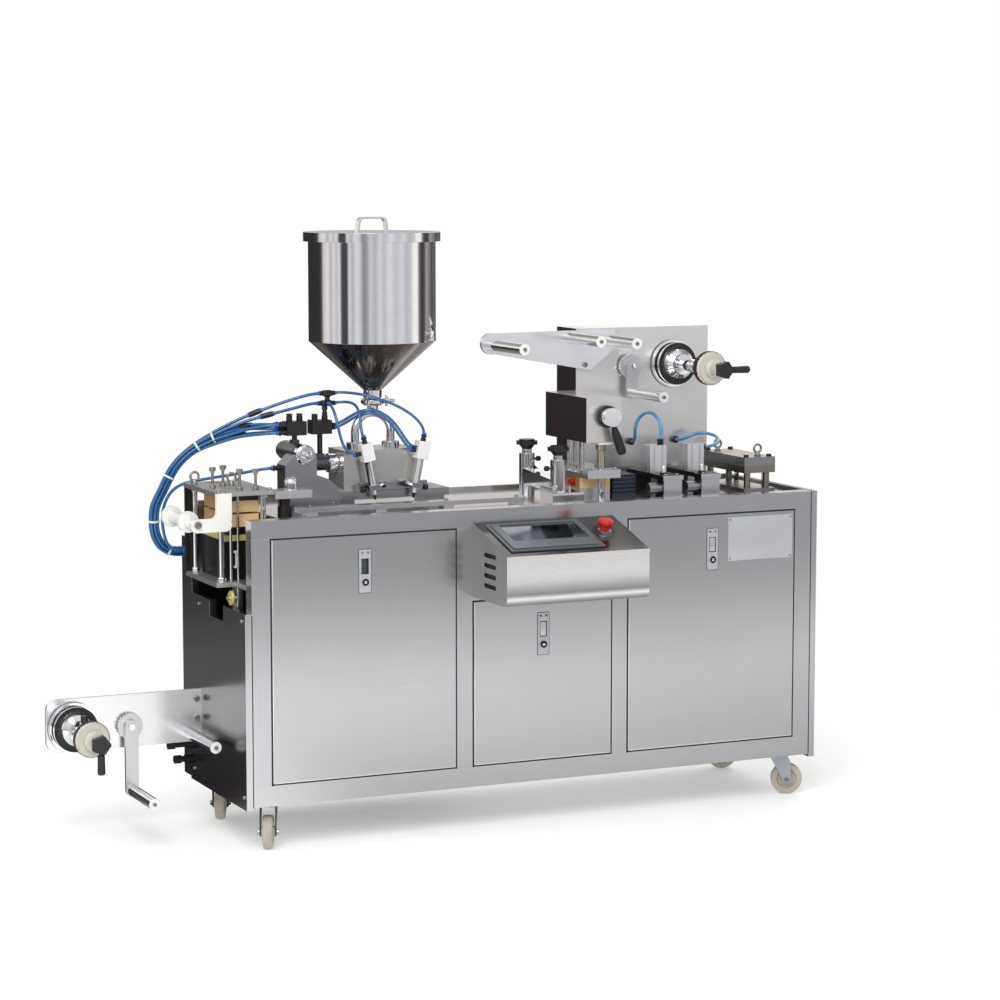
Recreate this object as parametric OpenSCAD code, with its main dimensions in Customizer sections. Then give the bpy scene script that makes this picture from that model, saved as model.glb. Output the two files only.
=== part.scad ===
// Blister packing machine: cabinet on casters with forming, filling, sealing and die stations
// All lengths in mm, floor at z = 0, film runs along +X, operator stands on the -Y side

/* [Cabinet] */
// Width of the cabinet between its end covers
cab_w = 1600; // [1590:1:1700]
// Depth of the cabinet from front frame to rear panel
cab_d = 490; // [486:1:510]
// Height of the cabinet above its casters
cab_h = 722; // [712:1:760]
// Width of each corner post
post_w = 50; // [46:1:54]
// Width of the two posts beside the middle door
mullion_w = 45; // [40:1:50]
// Depth of the front frame bars
frame_t = 40; // [34:1:44]
// Height of the top rail
top_rail = 47; // [42:1:52]
// Height of the bottom rail
bottom_rail = 53; // [46:1:58]
// Width of the middle door opening
mid_w = 400; // [390:1:410]
// Gap round each door
door_gap = 3; // [2:0.5:4]
// Depth of the door pans
door_t = 18; // [14:1:22]
// Thickness of the folded sheet
sheet = 2; // [1.5:0.5:3]
// Thickness of the rear panel
rear_t = 15; // [12:1:18]
// Depth of the end covers
cover_t = 18; // [14:1:22]
// Drop of the bed below the top of the rim
deck_drop = 12; // [8:1:16]
// Thickness of the bed plate
deck_t = 6; // [4:1:10]

/* [Control box] */
// Reach of the control box in front of the cabinet
box_d = 210; // [205:1:230]
// Drop from the cabinet's top to the underside of the box
box_drop = 225; // [222:1:236]
// Height of its front edge
box_front_h = 128; // [120:1:136]
// Height of its rear edge
box_rear_h = 190; // [180:1:198]
// Width of the touch screen bezel
bezel_w = 262; // [252:1:268]
// Length of the touch screen bezel up the slope
bezel_l = 172; // [166:1:176]

/* [Casters] */
// Overall height of a caster
caster_h = 115; // [113:1:125]
// Wheel diameter
wheel_d = 85; // [80:1:87]
// Wheel width
wheel_w = 26; // [22:1:28]
// Distance from the swivel axis to the axle
trail = 26; // [22:1:30]

/* [Hopper] */
// Outer diameter of the hopper
hopper_d = 332; // [318:1:342]
// Wall thickness of the hopper
hopper_t = 3; // [2:0.5:4]
// Height of the cone
cone_h = 129; // [120:1:140]
// Height of the straight wall
wall_h = 276; // [250:1:300]
// Diameter of the lid
lid_d = 357; // [352:1:366]
// Height of the lid skirt
skirt_h = 24; // [20:1:28]

/* [Film path] */
// Reach of the lower reel plate beyond the cabinet
reel_reach = 433; // [430:1:450]
// Diameter of the film rollers
roller_d = 30; // [26:1:32]
// Diameter of the reel flanges
flange_d = 130; // [120:1:136]
// Drop from the lower dancer hub to its roller
lower_swing = 165; // [155:1:170]
// Drop from the upper dancer hub to its roller
upper_swing = 72; // [66:1:80]

/* [Stations] */
// Width of the tower
tower_w = 407; // [400:1:412]
// Height of the tower above the bed
tower_h = 443; // [440:1:460]
// Depth of the tower
tower_d = 120; // [114:1:122]
// Diameter of the guide posts of the forming station
form_post_d = 14; // [10:1:14]
// Lean of each nozzle from upright in degrees
nozzle_lean = 11; // [9:0.5:13]

/* [Hidden] */
$fn = 64;
steel = [0.62, 0.63, 0.65];
bright = [0.80, 0.81, 0.83];
dark = [0.16, 0.15, 0.15];
white = [0.93, 0.93, 0.92];
tan_board = [0.87, 0.72, 0.48];
blue = [0.15, 0.38, 0.66];
red = [0.80, 0.10, 0.08];
fit = 0.05;
run_gap = 6;
cab_z = caster_h;
top_z = cab_z + cab_h;
deck_z = top_z - deck_drop;
inner_y = cab_d - rear_t;
track_y = cab_d / 2;
hop_y = track_y + 55;
door_z = cab_z + bottom_rail;
door_h = cab_h - bottom_rail - top_rail;
door_w = (cab_w - 2 * post_w - 2 * mullion_w - mid_w) / 2;
mid_x = post_w + door_w + mullion_w;
box_z = top_z - box_drop;
box_clear = 12;
mid_h = box_z - box_clear - door_z;
right_x = mid_x + mid_w + mullion_w;
centre_x = (cab_w + cover_t - reel_reach) / 2;
centre_y = (max(cab_d, hop_y + lid_d / 2) - box_d) / 2;
bay_w = 118;

module place() translate([-centre_x, -centre_y, 0]) children();
module bed() translate([-centre_x, -centre_y, deck_z]) children();
module slab(x0, x1, y0, y1, z0, z1) translate([x0, y0, z0]) cube([x1 - x0, y1 - y0, z1 - z0]);
module rod_x(y, z, x0, x1, r) translate([x0, y, z]) rotate([0, 90, 0]) cylinder(r = r, h = x1 - x0);
module rod_y(x, z, y0, y1, r) translate([x, y0, z]) rotate([-90, 0, 0]) cylinder(r = r, h = y1 - y0);
module rod_z(x, y, z0, z1, r) translate([x, y, z0]) cylinder(r = r, h = z1 - z0);
// Outline in x and z, carried along y
module sheet_y(y0, y1) translate([0, y1, 0]) rotate([90, 0, 0]) linear_extrude(y1 - y0) children();
// Outline in y and z, carried along x
module sheet_x(x0, x1) translate([x0, 0, 0]) rotate([90, 0, 90]) linear_extrude(x1 - x0) children();

// Cabinet frame
module front_posts() color(steel) place()
  for (x = [[0, post_w], [post_w + door_w, mullion_w], [mid_x + mid_w, mullion_w],
            [cab_w - post_w, post_w]])
    slab(x[0], x[0] + x[1], 0, frame_t, door_z, door_z + door_h);

module front_rails() color(steel) place() {
  slab(0, cab_w, 0, frame_t, cab_z, door_z);
  slab(0, cab_w, 0, frame_t, door_z + door_h, top_z);
  slab(mid_x, mid_x + mid_w, 0, frame_t, door_z + mid_h, door_z + door_h);
}

// Lift-off door pans, each standing on two pads
latch_w = 32;
latch_h = 110;
latch_drop = 94;
mid_latch_drop = 97;
pad_w = 30;
pad_set = 6;
module latch_spots() {
  translate([post_w + door_w / 2, 0, door_z + door_h - latch_drop]) children();
  translate([mid_x + mid_w / 2, 0, door_z + mid_h - mid_latch_drop]) children();
  translate([right_x + door_w / 2, 0, door_z + door_h - latch_drop]) children();
}
module pan(x, w, h) {
  difference() {
    slab(x + door_gap, x + w - door_gap, 0, door_t, door_z + door_gap, door_z + h - door_gap);
    slab(x + door_gap + sheet, x + w - door_gap - sheet, sheet, door_t + 1,
         door_z + door_gap + sheet, door_z + h - door_gap - sheet);
  }
  for (s = [0.2, 0.8])
    slab(x + s * w - pad_w / 2, x + s * w + pad_w / 2, pad_set, door_t,
         door_z, door_z + door_gap + sheet);
}
module doors() color(steel) place() difference() {
  union() {
    pan(post_w, door_w, door_h);
    pan(mid_x, mid_w, mid_h);
    pan(right_x, door_w, door_h);
  }
  latch_spots() slab(-latch_w / 2, latch_w / 2, -1, sheet + 1, -latch_h / 2, latch_h / 2);
}

window_w = 20;
window_h = 40;
key_r = 9;
module door_latches() color(bright) place() latch_spots() difference() {
  union() {
    slab(-latch_w / 2, latch_w / 2, -1, door_t, -latch_h / 2, latch_h / 2);
    rod_y(0, -window_h * 0.7, -4, 0, key_r);
  }
  slab(-window_w / 2, window_w / 2, -2, 8, -window_h * 0.2, window_h * 0.8);
}

module rear_panel() color(steel) place() slab(0, cab_w, inner_y, cab_d, cab_z, top_z);

// End covers, the left one cut away above for the forming station
cover_drop = 7;
cover_top = deck_z - 220;
cover_foot = cab_z - cover_drop;
cover_back = cab_d - 55;
upright_y = cab_d - 80;
upright_top = deck_z - 79;
slot_y0 = track_y - 80;
slot_y1 = track_y + 26;
slot_floor = cover_top - 40;
module end_covers() color(steel) place() {
  sheet_x(-cover_t, 0) polygon([[0, cover_foot], [cover_back, cover_foot], [cover_back, cab_z],
    [cab_d, cab_z], [cab_d, upright_top], [upright_y, upright_top], [upright_y, cover_top],
    [slot_y1, cover_top], [slot_y1, slot_floor],
    [slot_y0, slot_floor], [slot_y0, cover_top], [0, cover_top]]);
  slab(cab_w, cab_w + cover_t, 0, cab_d, cover_foot, top_z);
}

module bed_deck() color(bright) place() slab(bay_w, cab_w, frame_t, inner_y, deck_z - deck_t, deck_z);

// Casters: plate and kingpin on the base, fork swivels on the pin, wheel turns on the axle
caster_in = 62;
plate_t = 5;
plate_w = 92;
pan_t = 6;
kingpin_r = 8;
head_r = 12;
head_t = 4;
crown_t = 4;
crown_r = 26;
race_gap = 0.4;
axle_r = 6;
leg_t = 3;
leg_in = wheel_w / 2 + 5;
leg_w = 36;
leg_eye = 12;
hub_r = 14;
hub_gap = 1;
web_r = 24;
web_w = 14;
shoulder = 6;
neck_t = 4;
crown_z = caster_h - plate_t - race_gap - crown_t;
axle_z = wheel_d / 2;
caster_turn = [-24, -24, 66, 66];
caster_at = [[caster_in, caster_in], [caster_in, cab_d - caster_in],
             [cab_w - caster_in, caster_in], [cab_w - caster_in, cab_d - caster_in]];
module base_pan() color(steel) place() {
  slab(0, cab_w, frame_t, inner_y, cab_z, cab_z + pan_t);
  for (p = caster_at) {
    slab(p[0] - plate_w / 2, p[0] + plate_w / 2, p[1] - 36, p[1] + 36, cab_z - plate_t, cab_z);
    rod_z(p[0], p[1], crown_z - race_gap - head_t, cab_z, kingpin_r);
    rod_z(p[0], p[1], crown_z - race_gap - head_t, crown_z - race_gap, head_r);
  }
}
module fork(i) color(bright) place() translate(caster_at[i]) rotate(caster_turn[i]) {
  difference() {
    union() {
      rod_z(0, 0, crown_z, crown_z + crown_t, crown_r);
      slab(-leg_in - leg_t, leg_in + leg_t, -trail, leg_w / 2, crown_z, crown_z + crown_t);
    }
    rod_z(0, 0, crown_z - 1, crown_z + crown_t + 1, kingpin_r + fit);
  }
  for (x = [-leg_in - leg_t, leg_in]) {
    rod_x(-trail, axle_z, x, x + leg_t, leg_eye);
    sheet_x(x, x + leg_t) polygon([[leg_w / 2, crown_z + crown_t], [leg_w / 2 - 4, crown_z - 12],
      [leg_eye - trail - 1, axle_z - 3], [1 - leg_eye - trail, axle_z - 3],
      [1 - leg_eye - trail, crown_z - 18], [-trail, crown_z + crown_t]]);
  }
  rod_x(-trail, axle_z, -leg_in - leg_t - neck_t, leg_in + leg_t + neck_t, axle_r);
}
// Wheel section as radius and half width: tread with round shoulders, thin web, hub
tread = [for (a = [0:30:90])
  [wheel_d / 2 - shoulder * (1 - cos(a)), wheel_w / 2 - shoulder * (1 - sin(a))]];
wheel_half = concat(tread, [[web_r + 4, wheel_w / 2], [web_r, web_w / 2], [hub_r + 2, web_w / 2],
  [hub_r, leg_in - hub_gap], [axle_r + fit, leg_in - hub_gap]]);
wheel_section = concat(wheel_half,
  [for (i = [len(wheel_half) - 1:-1:0]) [wheel_half[i][0], -wheel_half[i][1]]]);
module wheel(i) color(white) place() translate(caster_at[i]) rotate(caster_turn[i])
  translate([0, -trail, axle_z]) rotate([0, 90, 0]) rotate_extrude() polygon(wheel_section);
module fork_front_left() fork(0);
module fork_rear_left() fork(1);
module fork_front_right() fork(2);
module fork_rear_right() fork(3);
module wheel_front_left() wheel(0);
module wheel_rear_left() wheel(1);
module wheel_front_right() wheel(2);
module wheel_rear_right() wheel(3);

// Control box with a sloping top
box_r = 22;
slope = atan2(box_rear_h - box_front_h, box_d);
stop_x = mid_x + 320;
stop_up = 105;
stop_r = 20;
stem_r = 10;
collar_t = 12;
press = 4;
stem_l = 24;
louvre_t = 12;
louvre_pitch = 26;
louvre_up = 40;
louvre_y = [-137, -77];
louvre_deep = 5;
module on_slope() translate([0, -box_d, box_z + box_front_h]) rotate([slope, 0, 0]) children();
module control_box() color(steel) place() difference() {
  union() {
    sheet_x(mid_x, mid_x + mid_w) {
      polygon([[0, box_z], [box_r - box_d, box_z], [-box_d, box_z + box_r],
               [-box_d, box_z + box_front_h], [0, box_z + box_rear_h]]);
      translate([box_r - box_d, box_z + box_r]) circle(box_r);
    }
    on_slope() rod_z(stop_x, stop_up, -1, collar_t, stop_r - 3);
  }
  on_slope() rod_z(stop_x, stop_up, -stem_l, collar_t + 1, stem_r + fit);
  for (n = [0:3]) for (x = [mid_x, mid_x + mid_w]) {
    z = box_z + louvre_up + louvre_pitch * n;
    slab(x - louvre_deep, x + louvre_deep, louvre_y[0], louvre_y[1], z - louvre_t / 2, z + louvre_t / 2);
    for (y = louvre_y) rod_x(y, z, x - louvre_deep, x + louvre_deep, louvre_t / 2);
  }
}
cap_z = collar_t + press + 0.5;
cap_neck = 15;
cap_h = 25;
module stop_button() color(red) place() on_slope() translate([stop_x, stop_up, 0]) rotate_extrude()
  polygon([[0, 2 * press - stem_l], [stem_r, 2 * press - stem_l], [stem_r, cap_z], [cap_neck, cap_z],
    [cap_neck, cap_z + 5], [stop_r, cap_z + 16], [stop_r, cap_z + 21], [stop_r - 5, cap_z + cap_h],
    [0, cap_z + cap_h]]);

bezel_x = mid_x + 25;
bezel_up = 26;
bezel_t = 7;
glass_w = bezel_w - 50;
glass_l = bezel_l - 70;
glass_t = 3;
rim_in = 9;
rim_up = 3;
glass_x = bezel_x + 30;
glass_up = bezel_up + 54;
module screen_spot(t0, t1) on_slope()
  slab(glass_x, glass_x + glass_w, glass_up, glass_up + glass_l, t0, t1);
module screen_bezel() color(white) place() difference() {
  on_slope() {
    slab(bezel_x, bezel_x + bezel_w, bezel_up, bezel_up + bezel_l, 0, bezel_t - rim_up);
    slab(bezel_x + rim_in, bezel_x + bezel_w - rim_in, bezel_up + rim_in, bezel_up + bezel_l - rim_in,
         0, bezel_t);
  }
  screen_spot(bezel_t - glass_t - 1, bezel_t + 1);
}
module screen_glass() color([0.55, 0.62, 0.68]) place() screen_spot(bezel_t - glass_t - 1, bezel_t - 1);

// Forming station in the open left bay
form_x = 28;
form_pitch_x = 56;
form_pitch_y = 102;
form_base = -154;
form_base_t = 12;
form_top = 62;
form_top_t = 12;
form_in = 127;
form_left = -50;
rear_leg = 13;
module forming_frame() color(steel) bed() {
  slab(0, 110, frame_t, inner_y, form_base - form_base_t, form_base);
  slab(form_left, 1, track_y - form_in, track_y + form_in - 4, form_base - form_base_t, form_base);
  slab(form_left, 106, track_y - form_in, track_y + form_in, form_top, form_top + form_top_t);
  slab(form_left, form_left + 22, track_y + form_in - 4 - rear_leg, track_y + form_in - 4,
       form_base - 1, form_top + 1);
}
block_y = 91;
board_x0 = -7;
board_x1 = 76;
module forming_blocks() color(dark) bed() {
  slab(-15, 72, track_y - block_y + 3, track_y + block_y - 3, form_base, -55);
  slab(board_x0, board_x1 - 6, track_y - block_y, track_y + block_y, -40, -20);
  slab(board_x0, board_x1, track_y - block_y, track_y + block_y, 46, form_top);
}
module insulation_boards() color(tan_board) bed() {
  slab(-15, 76, track_y - block_y - 3, track_y + block_y + 3, -55, -40);
  slab(board_x0, board_x1, track_y - block_y, track_y + block_y, -20, 12);
  slab(board_x0, board_x1, track_y - block_y, track_y + block_y, 17, 46);
  slab(seal_x - 45, seal_x + 45, track_y - 70, track_y + 45, seal_board0, yoke_z);
}

// Guide posts of the forming, seal and die stations
module guide_posts() color(bright) bed() {
  for (x = [-form_pitch_x, form_pitch_x]) for (y = [-form_pitch_y, form_pitch_y])
    rod_z(form_x + x, track_y + y, form_base, form_top, form_post_d / 2);
  for (y = seal_post_y) rod_z(seal_x, track_y + y, 0, head_z, seal_post_r);
  for (y = [-62, -24, 14]) rod_z(seal_x - 36, track_y + y, yoke_z + yoke_web, head_z, 7);
  for (x = [die_x0 + 18, die_x1 - 18]) for (y = [die_y0 + 18, die_y1 - 18])
    rod_z(x, track_y + y, die_base_t, shoe_z, die_post_r);
}

// White bracket with a flanged roller for the film entering the forming station
arm_t = 12;
arm_x = -102;
arm_z = -4;
arm_axle_r = 6;
arm_fillet = 15;
arm_y = track_y - form_in - arm_t;
axle_end = track_y + 73;
module guide_bracket() color(white) bed() {
  sheet_y(arm_y, arm_y + arm_t) {
    translate([arm_x, arm_z - 3]) circle(17);
    translate([arm_x, arm_z - 20]) square([73, 34]);
    translate([-52, 2]) square([40, form_top + form_top_t - 4]);
    translate([-29, arm_z - 3]) circle(17);
    difference() {
      translate([-52 - arm_fillet, arm_z + 13]) square(arm_fillet + 1);
      translate([-52 - arm_fillet, arm_z + 14 + arm_fillet]) circle(arm_fillet);
    }
  }
  rod_y(arm_x, arm_z, arm_y + arm_t, axle_end, arm_axle_r);
}
rim_r = 27;
rim_t = 12;
module guide_roller() color(white) bed() difference() {
  union() {
    rod_y(arm_x, arm_z, track_y - 80, axle_end + rim_t, rim_r / 2);
    rod_y(arm_x, arm_z, track_y - 68, track_y - 68 + rim_t, rim_r);
    rod_y(arm_x, arm_z, axle_end - rim_t, axle_end, rim_r);
  }
  rod_y(arm_x, arm_z, track_y - 81, axle_end, arm_axle_r);
}

// Hold-down foot at the start of the bed
module hold_down() color(bright) bed() {
  rod_z(148, track_y - 85, 0, 26, 18);
  rod_z(148, track_y - 85, 26, 48, 14);
  slab(112, 212, track_y - 115, track_y - 55, 48, 68);
  rod_z(165, track_y - 85, 68, 84, 17);
  translate([165, track_y - 85, 84]) sphere(17);
}

// Filler: bracket, pump block, cylinders and two leaning nozzles
block_x0 = 355;
block_x1 = 560;
block_front = track_y + 30;
block_back = track_y + 140;
block_z0 = 40;
block_z1 = 148;
air_x = 236;
air_z = 145;
air_r = 26;
air_y0 = track_y - 15;
air_y1 = track_y + 155;
carriage_t = 14;
cast_x0 = air_x - 56;
cast_x1 = air_x + 94;
saddle = air_r + 5;
bench_x0 = block_x0 - 20;
bench_x1 = block_x1 + 90;
bench_leg = 40;
bench_t = 20;
module filler_bracket() color(steel) bed() {
  difference() {
    sheet_y(track_y - 5, track_y + 55) polygon([[cast_x0, 0], [cast_x1, 0], [cast_x1 - 5, 58],
      [cast_x1 - 30, 80], [air_x + saddle, 92], [air_x + saddle, air_z], [air_x - saddle, air_z],
      [cast_x0, 120]]);
    rod_y(air_x, air_z, track_y - 20, track_y + 60, air_r);
  }
  slab(bench_x0, bench_x1, block_front - 7, block_back + 7, block_z0 - bench_t, block_z0);
  for (x = [bench_x0 + 10, bench_x1 - 10 - bench_leg])
    slab(x, x + bench_leg, block_front, block_back, 0, block_z0 - bench_t + 1);
  slab(block_x0 + 40, block_x1 + 25, block_front - carriage_t, block_front, block_z0 + 4, block_z0 + 22);
}
air_l = air_y1 - air_y0;
dose_y = track_y + 85;
dose_z = 112;
dose_x = 275;
boss_w = 20;
// Air cylinder section as radius and distance from its rear end
air_section = [[0, 0], [air_r - 3, 0], [air_r - 3, 14], [air_r, 14], [air_r, air_l - 36],
  [air_r - 3, air_l - 36], [air_r - 3, air_l - 30], [air_r, air_l - 30], [air_r, air_l - 10],
  [air_r - 5, air_l - 6], [air_r - 5, air_l], [15, air_l], [15, air_l - 5], [9, air_l - 5],
  [9, air_l + 14], [5, air_l + 20], [0, air_l + 20]];
dose_l = block_x0 - dose_x;
dose_section = [[0, 0], [22, 0], [22, 10], [19, 10], [19, 56], [25, 56], [25, dose_l - 4], [21, dose_l],
  [0, dose_l]];
module filler_cylinders() color([0.3, 0.31, 0.34]) bed() {
  translate([air_x, air_y1, air_z]) rotate([90, 0, 0]) rotate_extrude() polygon(air_section);
  slab(air_x - boss_w / 2, air_x + boss_w / 2, valve_at[0][1] - boss_w / 2, valve_at[0][1] + boss_w / 2,
       air_z + 18, valve_at[0][2]);
  translate([dose_x, dose_y, dose_z]) rotate([0, 90, 0]) rotate_extrude() polygon(dose_section);
  slab(valve_at[1][0] - boss_w / 2, valve_at[1][0] + boss_w / 2, dose_y - boss_w / 2, dose_y + boss_w / 2,
       dose_z + 12, valve_at[1][2]);
}
module filler_block() color(bright) bed()
  slab(block_x0, block_x1, block_front, block_back, block_z0, block_z1);

tip_x = [431, 538];
tip_z = 20;
collar_z0 = 26;
collar_z1 = 40;
barrel_z1 = 104;
barrel_r = 10;
screw_l = 34;
screw_r = 3.5;
knob_r = 8;
knob_t = 11;
head_l = 46;
head_half = 16;
module lean(n) translate([tip_x[n], track_y, tip_z])
  rotate([0, (n == 0 ? -1 : 1) * nozzle_lean, 0]) children();
module nozzles() color(bright) bed() for (n = [0, 1]) lean(n) {
  rotate_extrude() polygon([[0, 0], [3, 0], [4, 9], [7, 13], [7, collar_z0 + 1], [barrel_r, collar_z0 + 1],
    [barrel_r, barrel_z1], [0, barrel_z1]]);
  slab(-15, 15, -15, block_front - carriage_t - track_y, collar_z0, collar_z1);
  rod_x(0, (collar_z0 + collar_z1) / 2, -screw_l, screw_l, screw_r);
  for (x = [-screw_l, screw_l - knob_t]) rod_x(0, (collar_z0 + collar_z1) / 2, x, x + knob_t, knob_r);
}
module nozzle_heads() color(white) bed() for (n = [0, 1]) lean(n)
  slab(-head_half, head_half, -16, 16, barrel_z1, barrel_z1 + head_l);

// Valve blocks over the two cylinders, as x, y and the height of the boss below
valve_at = [[236, 320, 178], [310, 330, 138]];
valve_z = 190;
valve_w = 54;
valve_d = 40;
valve_h = 36;
riser_r = 7;
port_up = 10;
module air_valves() color(dark) bed() for (v = valve_at) {
  rod_z(v[0], v[1], v[2], valve_z + 1, riser_r);
  slab(v[0] - valve_w / 2, v[0] + valve_w / 2, v[1] - valve_d / 2, v[1] + valve_d / 2,
       valve_z, valve_z + valve_h);
  for (x = [-14, 14])
    rod_z(v[0] + x, v[1], valve_z + valve_h - 1, valve_z + valve_h + port_up, riser_r + 1);
}

// Hopper with its feed pipe and lid
hop_x = 447;
leg_pitch = 50;
pipe_r = 10.5;
arch_z = 192;
clamp_z = 262;
clamp_t = 20;
clamp_r = 31;
neck_r = 24;
neck_h = 20;
hop_z0 = clamp_z + clamp_t;
cone_z = hop_z0 + neck_h;
wall_z = cone_z + cone_h;
rim_z = wall_z + wall_h;
hop_r = hopper_d / 2;
module feed_pipe() color(bright) bed() translate([hop_x, hop_y, 0]) {
  for (s = [-leg_pitch, leg_pitch]) {
    rod_z(s, 0, block_z1, block_z1 + 18, 23);
    rod_z(s, 0, block_z1 + 18, arch_z, pipe_r);
  }
  translate([0, 0, arch_z]) rotate([90, 0, 0])
    rotate_extrude(angle = 180) translate([leg_pitch, 0]) circle(pipe_r);
  rod_z(0, 0, arch_z + leg_pitch, clamp_z, 14);
  rotate_extrude() polygon([[0, clamp_z], [neck_r, clamp_z], [clamp_r, clamp_z + 6],
    [clamp_r, clamp_z + clamp_t - 6], [neck_r, clamp_z + clamp_t], [0, clamp_z + clamp_t]]);
  slab(clamp_r - 4, clamp_r + 14, -9, 9, clamp_z + 4, clamp_z + clamp_t - 4);
  rod_z(clamp_r + 8, 0, clamp_z - 4, clamp_z + clamp_t + 4, 4);
  rod_x(0, clamp_z + clamp_t / 2, clamp_r, clamp_r + 30, 5);
}
module hopper() color(bright) bed() translate([hop_x, hop_y, 0]) rotate_extrude() polygon([
  [neck_r, hop_z0], [neck_r, cone_z], [hop_r, wall_z], [hop_r, rim_z], [hop_r - hopper_t, rim_z],
  [hop_r - hopper_t, wall_z + 1.3], [neck_r - hopper_t, cone_z + 1.3], [neck_r - hopper_t, hop_z0]]);
lid_t = 7;
strap_w = 22;
strap_h = 38;
strap_t = 5;
module hopper_lid() color(bright) bed() translate([hop_x, hop_y, rim_z]) {
  difference() {
    rod_z(0, 0, lid_t - skirt_h, lid_t, lid_d / 2);
    rod_z(0, 0, -skirt_h, 0, lid_d / 2 - hopper_t);
  }
  translate([0, 0, lid_t]) sheet_y(-strap_w / 2, strap_w / 2) difference() {
    polygon([[-44, 0], [-39, strap_h - 9], [-36, strap_h - 3], [-30, strap_h], [30, strap_h],
      [36, strap_h - 3], [39, strap_h - 9], [44, 0]]);
    polygon([[-39, -1], [-34, strap_h - 11], [-29, strap_h - strap_t], [29, strap_h - strap_t],
      [34, strap_h - 11], [39, -1]]);
  }
}

// Film rail on the bed
rail_x1 = 815;
module film_rails() color(bright) bed() {
  slab(180, rail_x1, track_y - 105, track_y - 70, 8, 20);
  for (x = [200, 390, 580, 780]) slab(x, x + 30, track_y - 105, track_y - 70, 0, 9);
}

// Film clamp with two barrels and star knobs
bar_x = 914;
bar_y = [-95, 100];
bar_r = 21;
bar_h = 112;
neck_top = 124;
module film_clamp() color(bright) bed() {
  slab(880, 972, track_y - 133, track_y - 57, 0, 28);
  sheet_x(bar_x - 17, bar_x + 17) polygon([[track_y + bar_y[0], 22], [track_y + bar_y[1], 34],
    [track_y + bar_y[1], 74], [track_y + bar_y[0], 58]]);
  for (y = bar_y) {
    rod_z(bar_x, track_y + y, 0, bar_h, bar_r);
    rod_z(bar_x, track_y + y, bar_h, neck_top, 13);
  }
}
star_r = 30;
star_h = 10;
star_foot = 12;
star_crown = 4;
module star(r, h, lobe, n) linear_extrude(h) {
  circle(r - lobe / 2);
  for (k = [0:n - 1]) rotate(360 * k / n) translate([r - lobe, 0]) circle(lobe);
}
module star_knobs() color(dark) bed() for (y = bar_y)
  translate([bar_x, track_y + y, neck_top]) {
    cylinder(r1 = 13, r2 = star_r - 8, h = star_foot);
    translate([0, 0, star_foot]) star(star_r, star_h, 6, 8);
    rod_z(0, 0, star_foot + star_h - 1, star_foot + star_h + star_crown, star_r - 9);
  }

// Seal station under a head box with a lever
seal_x = 1035;
seal_half = 53;
seal_post_y = [-105, 80];
seal_post_r = 10;
seal_board0 = 30;
yoke_z = 60;
yoke_t = 22;
yoke_web = 12;
head_z = 156;
head_h = 119;
head_front = track_y - 125;
tower_front = cab_d - tower_d;
fin_x0 = seal_x + 55;
fin_x1 = seal_x + 125;
fin_y0 = track_y - 65;
fin_pitch = 11;
fin_gap = 4;
fin_deep = 8;
lever_x = seal_x + 5;
lever_z = 225;
lever_pin = 8;
lever_hub = 29;
lever_l = 105;
module seal_head() color(steel) bed() difference() {
  slab(seal_x - seal_half, seal_x + seal_half, head_front, tower_front, head_z, head_z + head_h);
  rod_y(lever_x, lever_z, head_front - 1, head_front + 32, lever_pin + fit);
}
module seal_plates() color(bright) bed() {
  difference() {
    slab(seal_x - 49, seal_x + 48, track_y - 127, track_y + 100, yoke_z, yoke_z + yoke_t);
    for (y = seal_post_y) rod_z(seal_x, track_y + y, yoke_z - 1, yoke_z + yoke_t + 1, seal_post_r);
    slab(seal_x - 50, seal_x + 49, track_y - 75, track_y + 30, yoke_z + yoke_web, yoke_z + yoke_t + 1);
  }
  slab(seal_x - 45, seal_x + 45, track_y - 70, track_y + 45, 0, seal_board0);
  difference() {
    slab(fin_x0, fin_x1, fin_y0, fin_y0 + 150, 0, yoke_z);
    for (z = [fin_pitch:fin_pitch:yoke_z - fin_gap]) {
      slab(fin_x0 - 1, fin_x1 + 1, fin_y0 - 1, fin_y0 + fin_deep, z, z + fin_gap);
      slab(fin_x0 - 1, fin_x0 + fin_deep, fin_y0 - 1, fin_y0 + 151, z, z + fin_gap);
    }
  }
}
lever_y = head_front - run_gap - 20;
module seal_lever() color(dark) bed() {
  rod_y(lever_x, lever_z, head_front - run_gap, head_front + 30, lever_pin);
  rod_y(lever_x, lever_z, head_front - run_gap - 10, head_front - run_gap, lever_hub);
  rod_y(lever_x, lever_z, head_front - run_gap - 36, head_front - run_gap - 9, lever_hub - 4);
  translate([lever_x, lever_y, lever_z]) rotate([0, 160, 0]) rotate_extrude()
    polygon([[0, 0], [6, 0], [6, 30], [8, 32], [12, 56], [13, lever_l - 8], [10, lever_l], [0, lever_l]]);
}

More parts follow.
